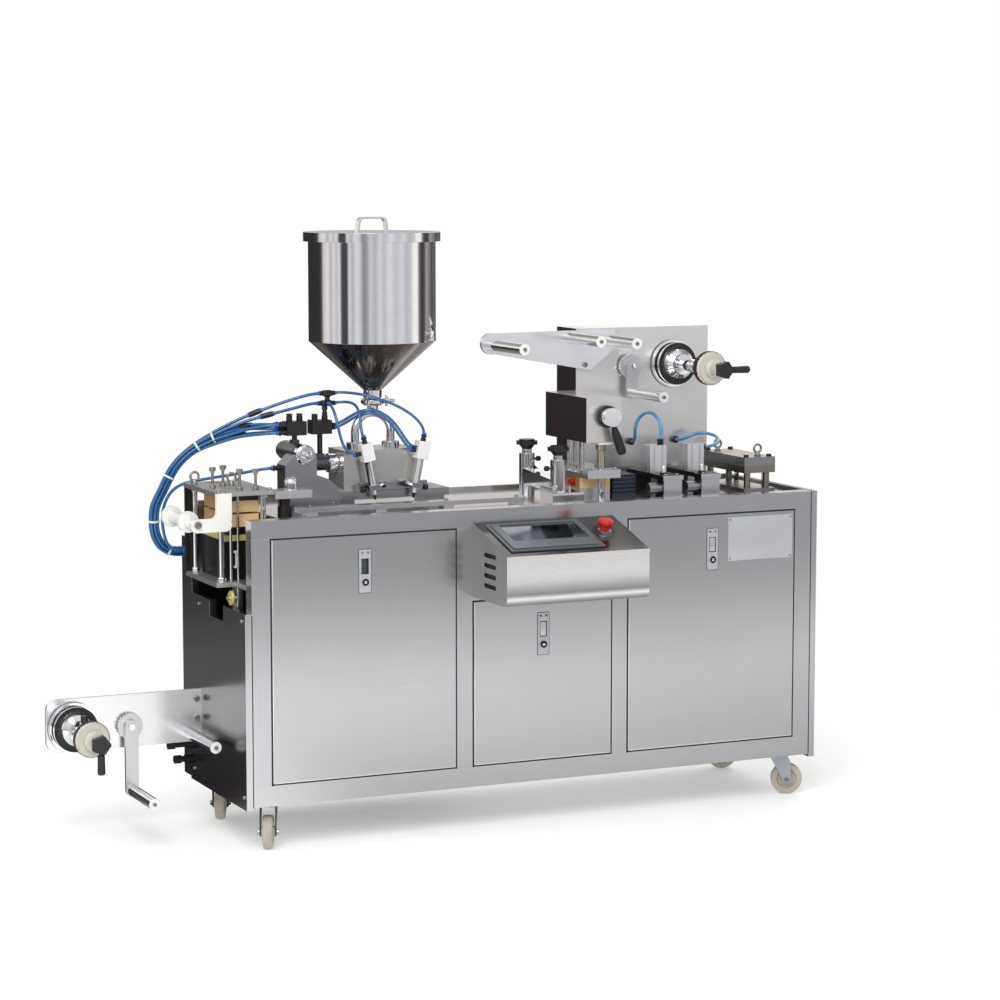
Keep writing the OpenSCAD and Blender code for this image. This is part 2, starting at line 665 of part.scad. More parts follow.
// Tower with the roller arm, upper dancer and upper reel
tower_x = 1073;
hub_pin = 10;
reel_pin = 12;
dancer_x = 1232;
dancer_z = 338;
reel_x = 1367;
reel_z = 341;
bore_d = 40;
module tower() color(steel) bed() difference() {
  union() {
    slab(tower_x, tower_x + tower_w, tower_front, inner_y, 0, deck_drop + 1);
    slab(tower_x, tower_x + tower_w, tower_front, cab_d, deck_drop, tower_h);
  }
  rod_y(dancer_x, dancer_z, tower_front - 1, tower_front + bore_d, hub_pin + fit);
  rod_y(reel_x, reel_z, tower_front - 1, tower_front + bore_d, reel_pin + fit);
}
arm_plate_t = 12;
arm_left = 815;
arm_end_r = 29;
arm_roll_z = 409;
arm_right = tower_x + 112;
arm_heel = tower_x + 38;
arm_heel_z = 329;
arm_foot_z = 385;
module roller_arm() color(steel) bed() {
  rod_y(arm_left, arm_roll_z, tower_front - arm_plate_t, tower_front, arm_end_r);
  sheet_y(tower_front - arm_plate_t, tower_front)
    polygon([[arm_left + 2, arm_roll_z + arm_end_r - 2], [arm_right, tower_h - 3], [arm_right, arm_foot_z],
             [arm_heel, arm_heel_z], [arm_left + 2, arm_roll_z - arm_end_r + 2]]);
}
// Each idler as x, height over the bed, front end
idlers = [[815, 406, 147], [1045, 420, 160], [1161, 411, 178]];
low_idler = [-53, -576];
module film_rollers() color(bright) bed() {
  for (r = idlers) rod_y(r[0], r[1], r[2], tower_front - arm_plate_t, roller_d / 2);
  rod_y(low_idler[0], low_idler[1], track_y - 115, plate_y, roller_d / 2);
}
// Dancer arm with its roller, toothed ring and hub pin standing back into a plate whose front is at y
ring_t = 12;
ring_r = 34;
tooth = 3;
swing_t = 10;
swing_r = 17;
ring_outline = [for (n = [0:47]) let (r = n % 2 == 0 ? ring_r : ring_r - tooth, a = 360 * n / 48)
  r * [cos(a), sin(a)]];
module dancer(x, z, y, swing, roll_l, pin_l) {
  arm_back = y - run_gap - ring_t;
  rod_y(x, z, y - run_gap - 1, y + pin_l, hub_pin);
  sheet_y(arm_back, y - run_gap) translate([x, z]) polygon(ring_outline);
  slab(x - swing_r, x + swing_r, arm_back - swing_t, arm_back, z - swing, z);
  for (h = [z, z - swing]) rod_y(x, h, arm_back - swing_t, arm_back, swing_r);
  rod_y(x, z - swing, arm_back - swing_t - roll_l, arm_back - swing_t, roller_d / 2);
  rod_y(x, z, arm_back - swing_t - 6, arm_back - swing_t, 8);
}
module upper_dancer() color(bright) bed()
  dancer(dancer_x, dancer_z, tower_front, upper_swing, 185, bore_d - 4);
ball_r = 18;
// Reel spindle: flange, shaft with a ball, cone and clamping knob, reach from plate front to cone front
module spindle(x, z, y, reach, pin_l) {
  translate([x, y, z]) rotate([-90, 0, 0]) {
    rotate_extrude() polygon([[0, pin_l], [reel_pin, pin_l], [reel_pin, -run_gap],
      [flange_d / 2, -run_gap], [flange_d / 2, -18], [50, -18], [50, -26], [58, -26], [58, -36], [46, -36],
      [40, -52], [28, -62], [28, -72], [16, -74], [16, 63 - reach], [30, 63 - reach], [44, 32 - reach],
      [46, 24 - reach], [46, 10 - reach], [40, 5 - reach], [40, -reach], [26, -reach], [26, -reach - 12],
      [20, -reach - 18], [20, -reach - 36], [10, -reach - 36], [10, -reach - 56], [0, -reach - 56]]);
    translate([0, 0, -reach - 74]) star(24, 20, 7, 5);
    translate([0, 0, -(reach + 11) / 2]) sphere(ball_r);
  }
}
grip_l = 75;
grip_r = 10;
module grip() rotate_extrude() polygon([[0, 0], [6, 0], [6, 24], [grip_r - 1, 26], [grip_r, grip_l - 4],
  [grip_r - 3, grip_l], [0, grip_l]]);
upper_reach = 238;
lower_reach = 186;
module upper_spindle() color(bright) bed() {
  spindle(reel_x, reel_z, tower_front, upper_reach, bore_d - 4);
  translate([reel_x, tower_front - upper_reach - 64, reel_z]) rotate([0, 90, 0]) grip();
}

// Traction units
traction_x = [1214, 1329];
unit_w = 55;
leg_h = 46;
bridge_h = 58;
cyl_w = 50;
cyl_top = 132;
foot_t = 7;
foot_out = 3;
groove_w = 5;
groove_deep = 4;
shaft_r = 15;
shaft_z = 24;
shaft_l = 38;
front_y = track_y - 125;
module traction_bridges() color(dark) bed() for (x = traction_x) {
  slab(x, x + unit_w, front_y, front_y + 40, 0, leg_h + 1);
  slab(x - foot_out, x + unit_w + foot_out, front_y - foot_out, front_y + 40 + foot_out, 0, foot_t);
  slab(x - foot_out, x + unit_w + foot_out, front_y - foot_out, front_y + 40, leg_h, bridge_h);
  slab(x, x + unit_w, track_y + 55, track_y + 95, 0, leg_h + 1);
  slab(x, x + unit_w, front_y, track_y + 95, leg_h, bridge_h);
  rod_x(front_y + 20, shaft_z, x - shaft_l, x + 1, shaft_r);
}
module traction_cylinders() color(bright) bed() for (x = traction_x)
  translate([x + unit_w / 2, track_y - 15, bridge_h]) difference() {
    slab(-cyl_w / 2, cyl_w / 2, -cyl_w / 2, cyl_w / 2, 0, cyl_top - bridge_h);
    for (a = [0:90:270]) rotate(a) for (y = [-12, 12])
      slab(cyl_w / 2 - groove_deep, cyl_w / 2 + 1, y - groove_w / 2, y + groove_w / 2, -1, cyl_top);
  }

// Die set
die_x0 = 1459;
die_x1 = 1554;
die_y0 = -128;
die_y1 = 115;
die_base_t = 12;
shoe_z = 54;
shoe_t = 20;
die_top = 97;
die_post_r = 9;
module die_plates() color(bright) bed() {
  slab(die_x0, die_x1, track_y + die_y0, track_y + die_y1, 0, die_base_t);
  slab(die_x0, die_x1, track_y + die_y0, track_y + die_y1, shoe_z + shoe_t, die_top);
}
module die_shoe() color([0.45, 0.42, 0.36]) bed()
  slab(die_x0, die_x1, track_y + die_y0, track_y + die_y1, shoe_z, shoe_z + shoe_t);

// Lower reel on its plate beyond the left end
plate_y = track_y + 98;
reel_plate_t = 10;
plate_z0 = -599;
plate_z1 = -462;
plate_r = 30;
low_reel = [-364, -536];
low_dancer = [-216, -542];
collar_gap = 0.5;
module reel_plate() color(steel) bed() difference() {
  sheet_y(plate_y, plate_y + reel_plate_t) {
    translate([-reel_reach + plate_r, plate_z0])
      square([reel_reach - plate_r - cover_t, plate_z1 - plate_z0]);
    translate([-reel_reach, plate_z0 + plate_r]) square([plate_r + 1, plate_z1 - plate_z0 - 2 * plate_r]);
    for (z = [plate_z0 + plate_r, plate_z1 - plate_r])
      translate([-reel_reach + plate_r, z]) circle(plate_r);
  }
  rod_y(low_reel[0], low_reel[1], plate_y - 1, plate_y + reel_plate_t + 1, reel_pin + fit);
  rod_y(low_dancer[0], low_dancer[1], plate_y - 1, plate_y + reel_plate_t + 1, hub_pin + fit);
}
module lower_dancer() color(bright) bed() {
  dancer(low_dancer[0], low_dancer[1], plate_y, lower_swing, 185, reel_plate_t + 8);
  rod_y(low_dancer[0], low_dancer[1], plate_y + reel_plate_t + collar_gap, plate_y + reel_plate_t + 8, 16);
}
module lower_spindle() color(bright) bed() {
  spindle(low_reel[0], low_reel[1], plate_y, lower_reach, reel_plate_t + 10);
  rod_y(low_reel[0], low_reel[1], plate_y + reel_plate_t + collar_gap, plate_y + reel_plate_t + 10, 18);
  translate([low_reel[0], plate_y - lower_reach - 64, low_reel[1]]) rotate([180, 0, 0]) grip();
}

// Hose ports low on the left end, as y, height and reach
ports = [[425, 203, 67], [442, 160, 44]];
port_r = 11;
port_bore = 5;
port_deep = 30;
module hose_ports() color(dark) place() for (p = ports) difference() {
  union() {
    rod_x(p[0], p[1], -cover_t - p[2], -cover_t, port_r - 3);
    rod_x(p[0], p[1], -cover_t - p[2], -cover_t - p[2] + 18, port_r);
    rod_x(p[0], p[1], -cover_t - 14, -cover_t, port_r + 2);
  }
  rod_x(p[0], p[1], -cover_t - p[2] - 1, -cover_t - p[2] + port_deep, port_bore);
}

// Air hoses: a round tube carried along a route of points
sides = 10;
function unit(v) = v / norm(v);
function tangent(p, i) = unit(p[min(i + 1, len(p) - 1)] - p[max(i - 1, 0)]);
function across(t) = unit(cross(t, abs(t[2]) > 0.9 ? [0, 1, 0] : [0, 0, 1]));
function ring(c, t, r) = let (u = across(t), v = cross(t, u))
  [for (k = [0:sides - 1]) c + r * (cos(360 * k / sides) * u + sin(360 * k / sides) * v)];
module tube(p, r) {
  n = len(p);
  points = [for (i = [0:n - 1]) each ring(p[i], tangent(p, i), r)];
  lower = [for (i = [0:n - 2]) for (k = [0:sides - 1])
    [i * sides + k, i * sides + (k + 1) % sides, (i + 1) * sides + k]];
  upper = [for (i = [0:n - 2]) for (k = [0:sides - 1])
    [i * sides + (k + 1) % sides, (i + 1) * sides + (k + 1) % sides, (i + 1) * sides + k]];
  ends = [[for (k = [sides - 1:-1:0]) k], [for (k = [0:sides - 1]) (n - 1) * sides + k]];
  polyhedron(points, concat(lower, upper, ends));
}
// Height of the bed in these routes
route_bed = 710;
trunk_route = [[-18, 455, 595], [-45, 455, 595], [-74, 455, 604], [-100, 452, 638], [-107, 448, 678],
  [-103, 444, 719], [-86, 440, 756], [-60, 434, 808], [-10, 424, 860], [40, 406, 892], [90, 384, 911],
  [135, 350, 918], [168, 326, 918], [188, 320, 918], [209, 320, 918]];
forming_route = [[-18, 425, 600], [-45, 425, 600], [-70, 426, 610], [-86, 428, 645], [-90, 428, 690],
  [-80, 424, 735], [-60, 415, 764], [0, 392, 786], [60, 352, 799], [110, 312, 811], [145, 288, 819],
  [165, 285, 820], [180, 285, 820]];
head_mid = barrel_z1 + head_l / 2;
head_way = [cos(nozzle_lean), 0, -sin(nozzle_lean)];
head_in = [tip_x[1] + head_mid * sin(nozzle_lean), track_y,
  route_bed + tip_z + head_mid * cos(nozzle_lean)]
  - head_half * head_way;
nozzle_route = concat([[337, 330, 918], [352, 330, 918], [374, 314, 932], [390, 288, 951], [415, 270, 960],
  [455, 262, 952], [494, 254, 918], [516, 248, 884]], [head_in - 15 * head_way, head_in]);
tower_left_route = [[1238, 370, 839], [1238, 356, 839], [1241, 346, 856], [1250, 338, 895],
  [1262, 322, 921], [1270, 296, 924], [1268, 262, 905],
  [1260, 234, 884], [1255, 220, 862], [1255, 220, 842]];
tower_right_route = [[1376, 370, 839], [1376, 356, 839], [1392, 342, 846], [1424, 322, 856],
  [1452, 296, 858], [1464, 268, 850], [1450, 244, 839], [1424, 233, 832], [1400, 230, 830],
  [1381.5, 230, 830]];
module hang() translate([0, 0, deck_z - route_bed]) children();
module hose_trunk() color(blue) place() hang() tube(trunk_route, 13);
module hose_forming() color(blue) place() hang() tube(forming_route, 4);
module hose_nozzles() color(blue) place() hang() tube(nozzle_route, 8);
module hose_tower_left() color(blue) place() hang() tube(tower_left_route, 5);
module hose_tower_right() color(blue) place() hang() tube(tower_right_route, 5);

front_posts();
front_rails();
doors();
door_latches();
rear_panel();
end_covers();
bed_deck();
base_pan();
fork_front_left();
fork_rear_left();
fork_front_right();
fork_rear_right();
wheel_front_left();
wheel_rear_left();
wheel_front_right();
wheel_rear_right();
control_box();
stop_button();
screen_bezel();
screen_glass();
forming_frame();
forming_blocks();
insulation_boards();
guide_posts();
guide_bracket();
guide_roller();
hold_down();
filler_bracket();
filler_cylinders();
filler_block();
nozzles();
nozzle_heads();
air_valves();
feed_pipe();
hopper();
hopper_lid();
film_rails();
film_clamp();
star_knobs();
seal_head();
seal_plates();
seal_lever();
tower();
roller_arm();
film_rollers();
upper_dancer();
upper_spindle();
traction_bridges();
traction_cylinders();
die_plates();
die_shoe();
reel_plate();
lower_dancer();
lower_spindle();
hose_ports();
hose_trunk();
hose_forming();
hose_nozzles();
hose_tower_left();
hose_tower_right();
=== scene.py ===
import bpy
import bmesh
import math
import numpy as np
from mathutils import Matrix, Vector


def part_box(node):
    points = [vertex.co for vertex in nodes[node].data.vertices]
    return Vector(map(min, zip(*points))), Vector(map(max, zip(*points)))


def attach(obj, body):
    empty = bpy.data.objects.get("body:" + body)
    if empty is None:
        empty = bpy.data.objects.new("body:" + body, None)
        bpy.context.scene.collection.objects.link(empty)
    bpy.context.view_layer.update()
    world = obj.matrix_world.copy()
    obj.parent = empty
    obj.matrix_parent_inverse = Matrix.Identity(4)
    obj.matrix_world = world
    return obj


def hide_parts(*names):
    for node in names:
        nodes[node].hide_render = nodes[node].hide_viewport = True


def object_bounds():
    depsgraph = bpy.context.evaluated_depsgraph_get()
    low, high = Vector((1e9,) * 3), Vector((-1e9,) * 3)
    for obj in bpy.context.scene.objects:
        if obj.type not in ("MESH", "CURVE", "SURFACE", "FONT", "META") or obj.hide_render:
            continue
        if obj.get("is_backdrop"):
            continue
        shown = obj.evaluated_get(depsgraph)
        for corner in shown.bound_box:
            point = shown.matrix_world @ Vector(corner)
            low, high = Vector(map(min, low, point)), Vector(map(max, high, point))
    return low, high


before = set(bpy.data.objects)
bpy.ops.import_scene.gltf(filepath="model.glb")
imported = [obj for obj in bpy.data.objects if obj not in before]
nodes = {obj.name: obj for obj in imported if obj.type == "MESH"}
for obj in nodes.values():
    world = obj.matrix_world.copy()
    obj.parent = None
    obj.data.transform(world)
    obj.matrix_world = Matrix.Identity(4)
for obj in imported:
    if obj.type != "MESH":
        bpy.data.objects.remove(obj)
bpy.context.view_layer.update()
mm = 0.001
corner = np.array(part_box("front_rails")[0])  # lower left front corner of the cabinet
bpy.context.scene.view_settings.view_transform = "Standard"
print("frame loaded:", len(nodes), "nodes")


# Small tools for shapes

def place(points):  # millimetres right, back and up from the cabinet's corner, turned to metres in the frame
    return corner + mm * np.asarray(points, float)


def local(point):  # a point of the frame back to millimetres from the cabinet's corner
    return (np.asarray(point, float) - corner) / mm


def nodeBox(name):  # lowest and highest corner of a node, in millimetres from the cabinet's corner
    low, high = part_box(name)
    return local(low), local(high)


def unit(v):
    v = np.asarray(v, float)
    return v / np.linalg.norm(v, axis=-1, keepdims=True)


def across(axis):  # two directions square to an axis, and the axis
    a = unit(axis)
    u = unit(np.cross([0, 0, 1] if abs(a[2]) < 0.9 else [1, 0, 0], a))
    return u, np.cross(a, u), a


def skin(rows, closed=False):
    # loops of points in rows, quads from each loop to the next, one face at either end
    n, m = rows.shape[:2]
    a = np.arange(n if closed else n - 1)[:, None]
    b = np.arange(m)[None, :]
    c, d = (a + 1) % n, (b + 1) % m
    quads = np.stack([a * m + b, a * m + d, c * m + d, c * m + b], -1).reshape(-1, 4)
    ends = [] if closed else [np.arange(m)[::-1], np.arange((n - 1) * m, n * m)]
    return rows.reshape(-1, 3), quads, ends


def turned(profile, base, axis=(0, 0, 1), sides=24):
    # radius and height pairs swung about an axis: base + h a + r (u cos t + v sin t)
    r, h = np.array(profile, float).T
    u, v, a = across(axis)
    t = np.linspace(0, 2 * math.pi, sides, endpoint=False)
    ring = np.cos(t)[:, None] * u + np.sin(t)[:, None] * v
    rows = np.asarray(base, float) + h[:, None, None] * a + np.maximum(r, 0.01)[:, None, None] * ring
    return skin(place(rows))


def swept(path, radius, sides=12, closed=False):
    # a circle carried square to a path: p(s) + r (u cos t + v sin t), u and v across the tangent
    path = np.asarray(path, float)
    step = np.roll(path, -1, 0) - np.roll(path, 1, 0) if closed else np.gradient(path, axis=0)
    tangent = unit(step)
    ref = np.linalg.svd(tangent, full_matrices=True)[2][-1]  # the way that the path runs least
    u = unit(np.cross(tangent, ref))
    v = np.cross(tangent, u)
    t = np.linspace(0, 2 * math.pi, sides, endpoint=False)
    ring = np.cos(t)[None, :, None] * u[:, None] + np.sin(t)[None, :, None] * v[:, None]
    return skin(place(path[:, None] + radius * ring), closed)


def block(low, high, r, steps=3):
    # rounded rectangle at each height, drawn in along a quarter circle at the top and the bottom
    low, high = np.asarray(low, float), np.asarray(high, float)
    half, centre = (high - low) / 2, (high + low) / 2
    r = min(r, half.min() * 0.95)
    q = np.linspace(0, math.pi / 2, steps + 1)
    inset, rise = r * (1 - np.sin(q)), r * (1 - np.cos(q))
    inset, z = np.r_[inset, inset[::-1]], np.r_[rise - half[2], (half[2] - rise)[::-1]]
    t = np.concatenate([q + k * math.pi / 2 for k in range(4)])
    side = np.repeat([[1, 1], [-1, 1], [-1, -1], [1, -1]], steps + 1, axis=0)
    flat = side * (half[:2] - r)
    round2 = np.maximum(r - inset, 0.02 * r)[:, None, None] * np.stack([np.cos(t), np.sin(t)], -1)
    rows = np.concatenate([flat + round2, np.broadcast_to(z[:, None, None], (len(z), len(t), 1))], -1)
    return skin(place(rows + centre))


def smooth(route, count=80):
    # natural cubic curve through given points, then evened out along its length
    p = np.asarray(route, float)
    s = np.r_[0, np.cumsum(np.linalg.norm(np.diff(p, axis=0), axis=1))]
    h, n = np.diff(s), len(p)
    a, b = np.eye(n), np.zeros((n, 3))
    k = np.arange(1, n - 1)
    a[k, k - 1], a[k, k], a[k, k + 1] = h[:-1], 2 * (h[:-1] + h[1:]), h[1:]
    slope = np.diff(p, axis=0) / h[:, None]
    b[1:-1] = 6 * np.diff(slope, axis=0)
    m = np.linalg.solve(a, b)
    x = np.linspace(0, s[-1], 6 * count)
    i = np.clip(np.searchsorted(s, x) - 1, 0, n - 2)
    d, e, w = (x - s[i])[:, None], (s[i + 1] - x)[:, None], h[i][:, None]
    q = (m[i] * e ** 3 + m[i + 1] * d ** 3) / (6 * w)
    q = q + (p[i] / w - m[i] * w / 6) * e + (p[i + 1] / w - m[i + 1] * w / 6) * d
    run = np.r_[0, np.cumsum(np.linalg.norm(np.diff(q, axis=0), axis=1))]
    even = np.linspace(0, run[-1], count)
    return np.stack([np.interp(even, run, q[:, c]) for c in range(3)], -1)


def piece(name, shells, finish, body="machine", corners=35):
    # joins shells into one mesh with its faces outward, smooth but for its corners
    sizes = [len(s[0]) for s in shells]
    starts = np.r_[0, np.cumsum(sizes)[:-1]]
    faces = np.concatenate([s[1] + k for s, k in zip(shells, starts)]).tolist()
    faces += [(e + k).tolist() for s, k in zip(shells, starts) for e in s[2]]
    mesh = bpy.data.meshes.new(name)
    mesh.from_pydata(np.concatenate([s[0] for s in shells]), [], faces)
    work = bmesh.new()
    work.from_mesh(mesh)
    bmesh.ops.recalc_face_normals(work, faces=work.faces)
    work.to_mesh(mesh)
    work.free()
    mesh.shade_smooth()
    mesh.set_sharp_from_angle(angle=math.radians(corners))
    mesh.materials.append(finish)
    obj = bpy.data.objects.new(name, mesh)
    bpy.context.scene.collection.objects.link(obj)
    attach(obj, body)
    return obj


# Small tools for finishes

def toLinear(hexText):  # sRGB hex to linear colour
    c = np.array([int(hexText[i:i + 2], 16) for i in (1, 3, 5)]) / 255
    return (*np.where(c <= 0.04045, c / 12.92, ((c + 0.055) / 1.055) ** 2.4), 1.0)


def addNode(tree, kind, values=None, links=None, **settings):
    node = tree.nodes.new(kind)
    for key, value in settings.items():
        setattr(node, key, value)
    for key, value in (values or {}).items():
        node.inputs[key].default_value = value
    for key, source in (links or {}).items():
        tree.links.new(source, node.inputs[key])
    return node


def perMetre(*sizes):  # pattern sizes in millimetres to scales on coordinates in metres
    return [1000 / s for s in sizes]


def startMaterial(name, **values):
    material = bpy.data.materials.new(name)
    material.use_nodes = True
    tree = material.node_tree
    tree.nodes.clear()
    values = {k.replace("_", " "): v for k, v in values.items()}
    shader = addNode(tree, "ShaderNodeBsdfPrincipled", values)
    addNode(tree, "ShaderNodeOutputMaterial", links={"Surface": shader.outputs[0]})
    coords = addNode(tree, "ShaderNodeTexCoord").outputs["Object"]
    return material, tree, shader, coords


def showAs(tree, source):  # links a shader to the material's output
    out = next(n for n in tree.nodes if n.type == "OUTPUT_MATERIAL")
    tree.links.new(source.outputs[0], out.inputs["Surface"])


def finishWith(tree, shader, tone, light, dark, rough, height, depth, edge=1.0):
    # one pattern drives colour, gloss and relief, and the corners catch light as a broken edge does
    colour = addNode(tree, "ShaderNodeMix", {6: toLinear(dark), 7: toLinear(light)}, {0: tone},
                     data_type="RGBA")
    gloss = addNode(tree, "ShaderNodeMapRange", {"To Min": rough[1], "To Max": rough[0]}, {"Value": tone})
    broken = addNode(tree, "ShaderNodeBevel", {"Radius": edge * mm}, samples=4)
    relief = addNode(tree, "ShaderNodeBump", {"Strength": 0.3, "Distance": depth * mm},
                     {"Height": height, "Normal": broken.outputs[0]})
    tree.links.new(colour.outputs[2], shader.inputs["Base Color"])
    tree.links.new(gloss.outputs[0], shader.inputs["Roughness"])
    tree.links.new(relief.outputs[0], shader.inputs["Normal"])


def brushedSteel(name, light, dark, rough, grain, line=3.0, run=260, metal=1.0):
    # stainless sheet rubbed one way: long lines, drawn wider than the real 0.3 mm so that they show
    material, tree, shader, coords = startMaterial(name, Metallic=metal)
    sizes = [line, line, line]
    sizes["xyz".index(grain)] = run
    stretched = addNode(tree, "ShaderNodeMapping", {"Scale": perMetre(*sizes)}, {"Vector": coords})
    lines = addNode(tree, "ShaderNodeTexNoise", {"Scale": 1.0, "Detail": 5.0, "Roughness": 0.65},
                    {"Vector": stretched.outputs[0]})
    haze = addNode(tree, "ShaderNodeTexNoise", {"Scale": 1000 / 240, "Detail": 2.0}, {"Vector": coords})
    tone = addNode(tree, "ShaderNodeMath", {1: 0.35}, {0: haze.outputs[0]}, operation="MULTIPLY")
    mixed = addNode(tree, "ShaderNodeMath", {1: 0.65}, {0: lines.outputs[0], 2: tone.outputs[0]},
                    operation="MULTIPLY_ADD")
    finishWith(tree, shader, mixed.outputs[0], light, dark, rough, lines.outputs[0], 0.05)
    return material


def polishedSteel(name, light, dark, rough, wave=90, depth=0.25):
    # buffed sheet: near mirror, slightly wavy, with faint rubbing haze
    material, tree, shader, coords = startMaterial(name, Metallic=1.0)
    haze = addNode(tree, "ShaderNodeTexNoise", {"Scale": 1000 / 35, "Detail": 6.0, "Roughness": 0.7},
                   {"Vector": coords})
    waves = addNode(tree, "ShaderNodeTexNoise", {"Scale": 1000 / wave, "Detail": 1.0}, {"Vector": coords})
    finishWith(tree, shader, haze.outputs[0], light, dark, rough, waves.outputs[0], depth)
    return material


def grainy(name, light, dark, rough, grit=2.0, depth=0.05, **values):
    # moulded, cast or blasted surface: fine even grit, drawn coarse enough to show
    material, tree, shader, coords = startMaterial(name, **values)
    grit1 = addNode(tree, "ShaderNodeTexNoise", {"Scale": 1000 / grit, "Detail": 3.0}, {"Vector": coords})
    patch = addNode(tree, "ShaderNodeTexNoise", {"Scale": 1000 / 60, "Detail": 3.0}, {"Vector": coords})
    half = addNode(tree, "ShaderNodeMath", {1: 0.5}, {0: patch.outputs[0]}, operation="MULTIPLY")
    tone = addNode(tree, "ShaderNodeMath", {1: 0.5}, {0: grit1.outputs[0], 2: half.outputs[0]},
                   operation="MULTIPLY_ADD")
    finishWith(tree, shader, tone.outputs[0], light, dark, rough, grit1.outputs[0], depth)
    return material


def layeredBoard(name, light, dark, rough, ply=4.0):
    # pressed glass-mat board: thin plies that show as lines on the cut sides
    material, tree, shader, coords = startMaterial(name)
    flat = addNode(tree, "ShaderNodeMapping", {"Scale": perMetre(60, 60, ply)}, {"Vector": coords})
    plies = addNode(tree, "ShaderNodeTexNoise", {"Scale": 1.0, "Detail": 4.0, "Roughness": 0.7},
                    {"Vector": flat.outputs[0]})
    finishWith(tree, shader, plies.outputs[0], light, dark, rough, plies.outputs[0], 0.1)
    return material


# rubbed or ground one way: soft reflections drawn out along the grain
stainless = brushedSteel("brushed stainless sheet", "#d6d6d9", "#c8c8cb", (0.18, 0.24), "x", 1.2)
stainlessPost = brushedSteel("brushed stainless post", "#d8d8db", "#c2c2c6", (0.18, 0.26), "z", 2.2)
# painted shade: the end sheets are the same brushed stainless, coloured darker for the dark of the room they
# face
shadedEndSheet = brushedSteel("brushed stainless end sheet in painted shade", "#8d8887", "#7b7675", (0.18, 0.26), "z", 1.2)
stainlessBox = brushedSteel("satin stainless box sheet", "#f6f5f4", "#eceae8", (0.24, 0.32), "x", 1.2,
                            metal=0.72)
# painted shade: the sides and the sloping top of the box are its one sheet, coloured darker where less light
# falls
shadedBoxSide = brushedSteel("satin stainless box side in painted shade", "#bcb9b5", "#a9a6a2", (0.30, 0.40), "y", 1.2)
towerSteel = brushedSteel("warm brushed tower plate", "#eae8e6", "#d2cfcc", (0.22, 0.30), "z", 2.0, 120,
                          metal=0.78)
armPlate = brushedSteel("bright ground arm plate", "#ededef", "#dcdcdf", (0.16, 0.22), "x", 1.5, 60,
                        metal=0.8)
bedSteel = brushedSteel("ground bed plate", "#dedee0", "#c4c4c7", (0.20, 0.30), "x")
greySteel = brushedSteel("ground grey steel", "#a8a9ab", "#8a8b8d", (0.24, 0.34), "x", 1.5, 60)
toolSteel = brushedSteel("ground tool steel", "#a79f92", "#7d766b", (0.22, 0.34), "y", 1.5, 60)
machined = brushedSteel("machined aluminium", "#dcdcdd", "#c2c2c4", (0.26, 0.36), "y", 1.5, 40)
pumpBlock = brushedSteel("buffed pump block", "#e2e0dd", "#a9a49f", (0.08, 0.20), "x", 18, 34, metal=0.7)
# buffed or plated, and glass: sharp bright and dark streaks
polished = polishedSteel("buffed stainless", "#e4e4e6", "#d0d0d3", (0.05, 0.10))
chrome = polishedSteel("hard chrome", "#eeeeef", "#e0e0e2", (0.04, 0.09), 40, 0.02)
screenGlass = polishedSteel("dark screen glass", "#59626a", "#454d55", (0.05, 0.09), 200, 0.01)
# cast, plated, blackened or anodised metal: even grit
castAlloy = grainy("cast aluminium", "#c9c8c5", "#a5a4a1", (0.38, 0.52), Metallic=1.0)
# painted shade: the left forks are zinc plated forks like the right, coloured darker for the side turned
# from the light
shadedForkZinc = grainy("zinc plated fork in painted shade", "#5b5954", "#3c3a37", (0.30, 0.45), Metallic=0.8)
paleZinc = grainy("bright zinc plated fork", "#c3ccd2", "#a4adb4", (0.28, 0.42), Metallic=0.7)
zincSteel = grainy("zinc plated pressing", "#a9a7a3", "#837f79", (0.30, 0.45), Metallic=1.0)
blackOxide = grainy("black oxide steel", "#3d3a38", "#262422", (0.28, 0.42), Metallic=0.8)
anodised = grainy("grey anodised aluminium", "#5d6066", "#46494f", (0.25, 0.35), Metallic=0.7)
blueAnodised = grainy("dark blue anodised block", "#454c5c", "#333947", (0.28, 0.40), Metallic=0.6)
plateSatin = grainy("satin name plate", "#c9cbd0", "#babcc2", (0.30, 0.40), Metallic=0.6)
yellowPlate = grainy("yellow passivated plate", "#d9cf8a", "#b8ac62", (0.35, 0.50), Metallic=0.3)
brass = grainy("turned brass", "#c9bd9d", "#a89b78", (0.18, 0.30), Metallic=1.0)
# moulded, turned and pressed goods: even colour with small quiet highlights
blackPlastic = grainy("black moulded nylon", "#1b1b1c", "#101011", (0.30, 0.45))
blackRubber = grainy("black rubber", "#191919", "#0d0d0d", (0.55, 0.75))
whitePlastic = grainy("white turned acetal", "#f1f1ee", "#e3e3df", (0.28, 0.40))
nylonWheel = grainy("worn cast nylon", "#cfc8bb", "#8d8274", (0.45, 0.65), 4.0)
creamHub = grainy("cream turned nylon", "#d6d2c8", "#bdb7aa", (0.30, 0.45))
redPlastic = grainy("red moulded plastic", "#d2281e", "#b81d15", (0.20, 0.30))
board = layeredBoard("glass mat board", "#edcf9c", "#d9b277", (0.45, 0.60))
shadedBoard = layeredBoard("glass mat board in painted shade", "#c39863", "#9a7145", (0.55, 0.70))
blueHose = grainy("blue polyurethane tube", "#2a6ea8", "#174a76", (0.16, 0.28), 6.0, Coat_Weight=0.4)
paleHose = grainy("pale blue polyurethane tube", "#5fa9d8", "#3f88bd", (0.14, 0.25), 6.0, Coat_Weight=0.5)
blueCollar = grainy("bright blue collar", "#2470ea", "#1a56c4", (0.25, 0.35))
bezelGrey = grainy("grey moulded bezel", "#5d646c", "#4a5057", (0.30, 0.42))
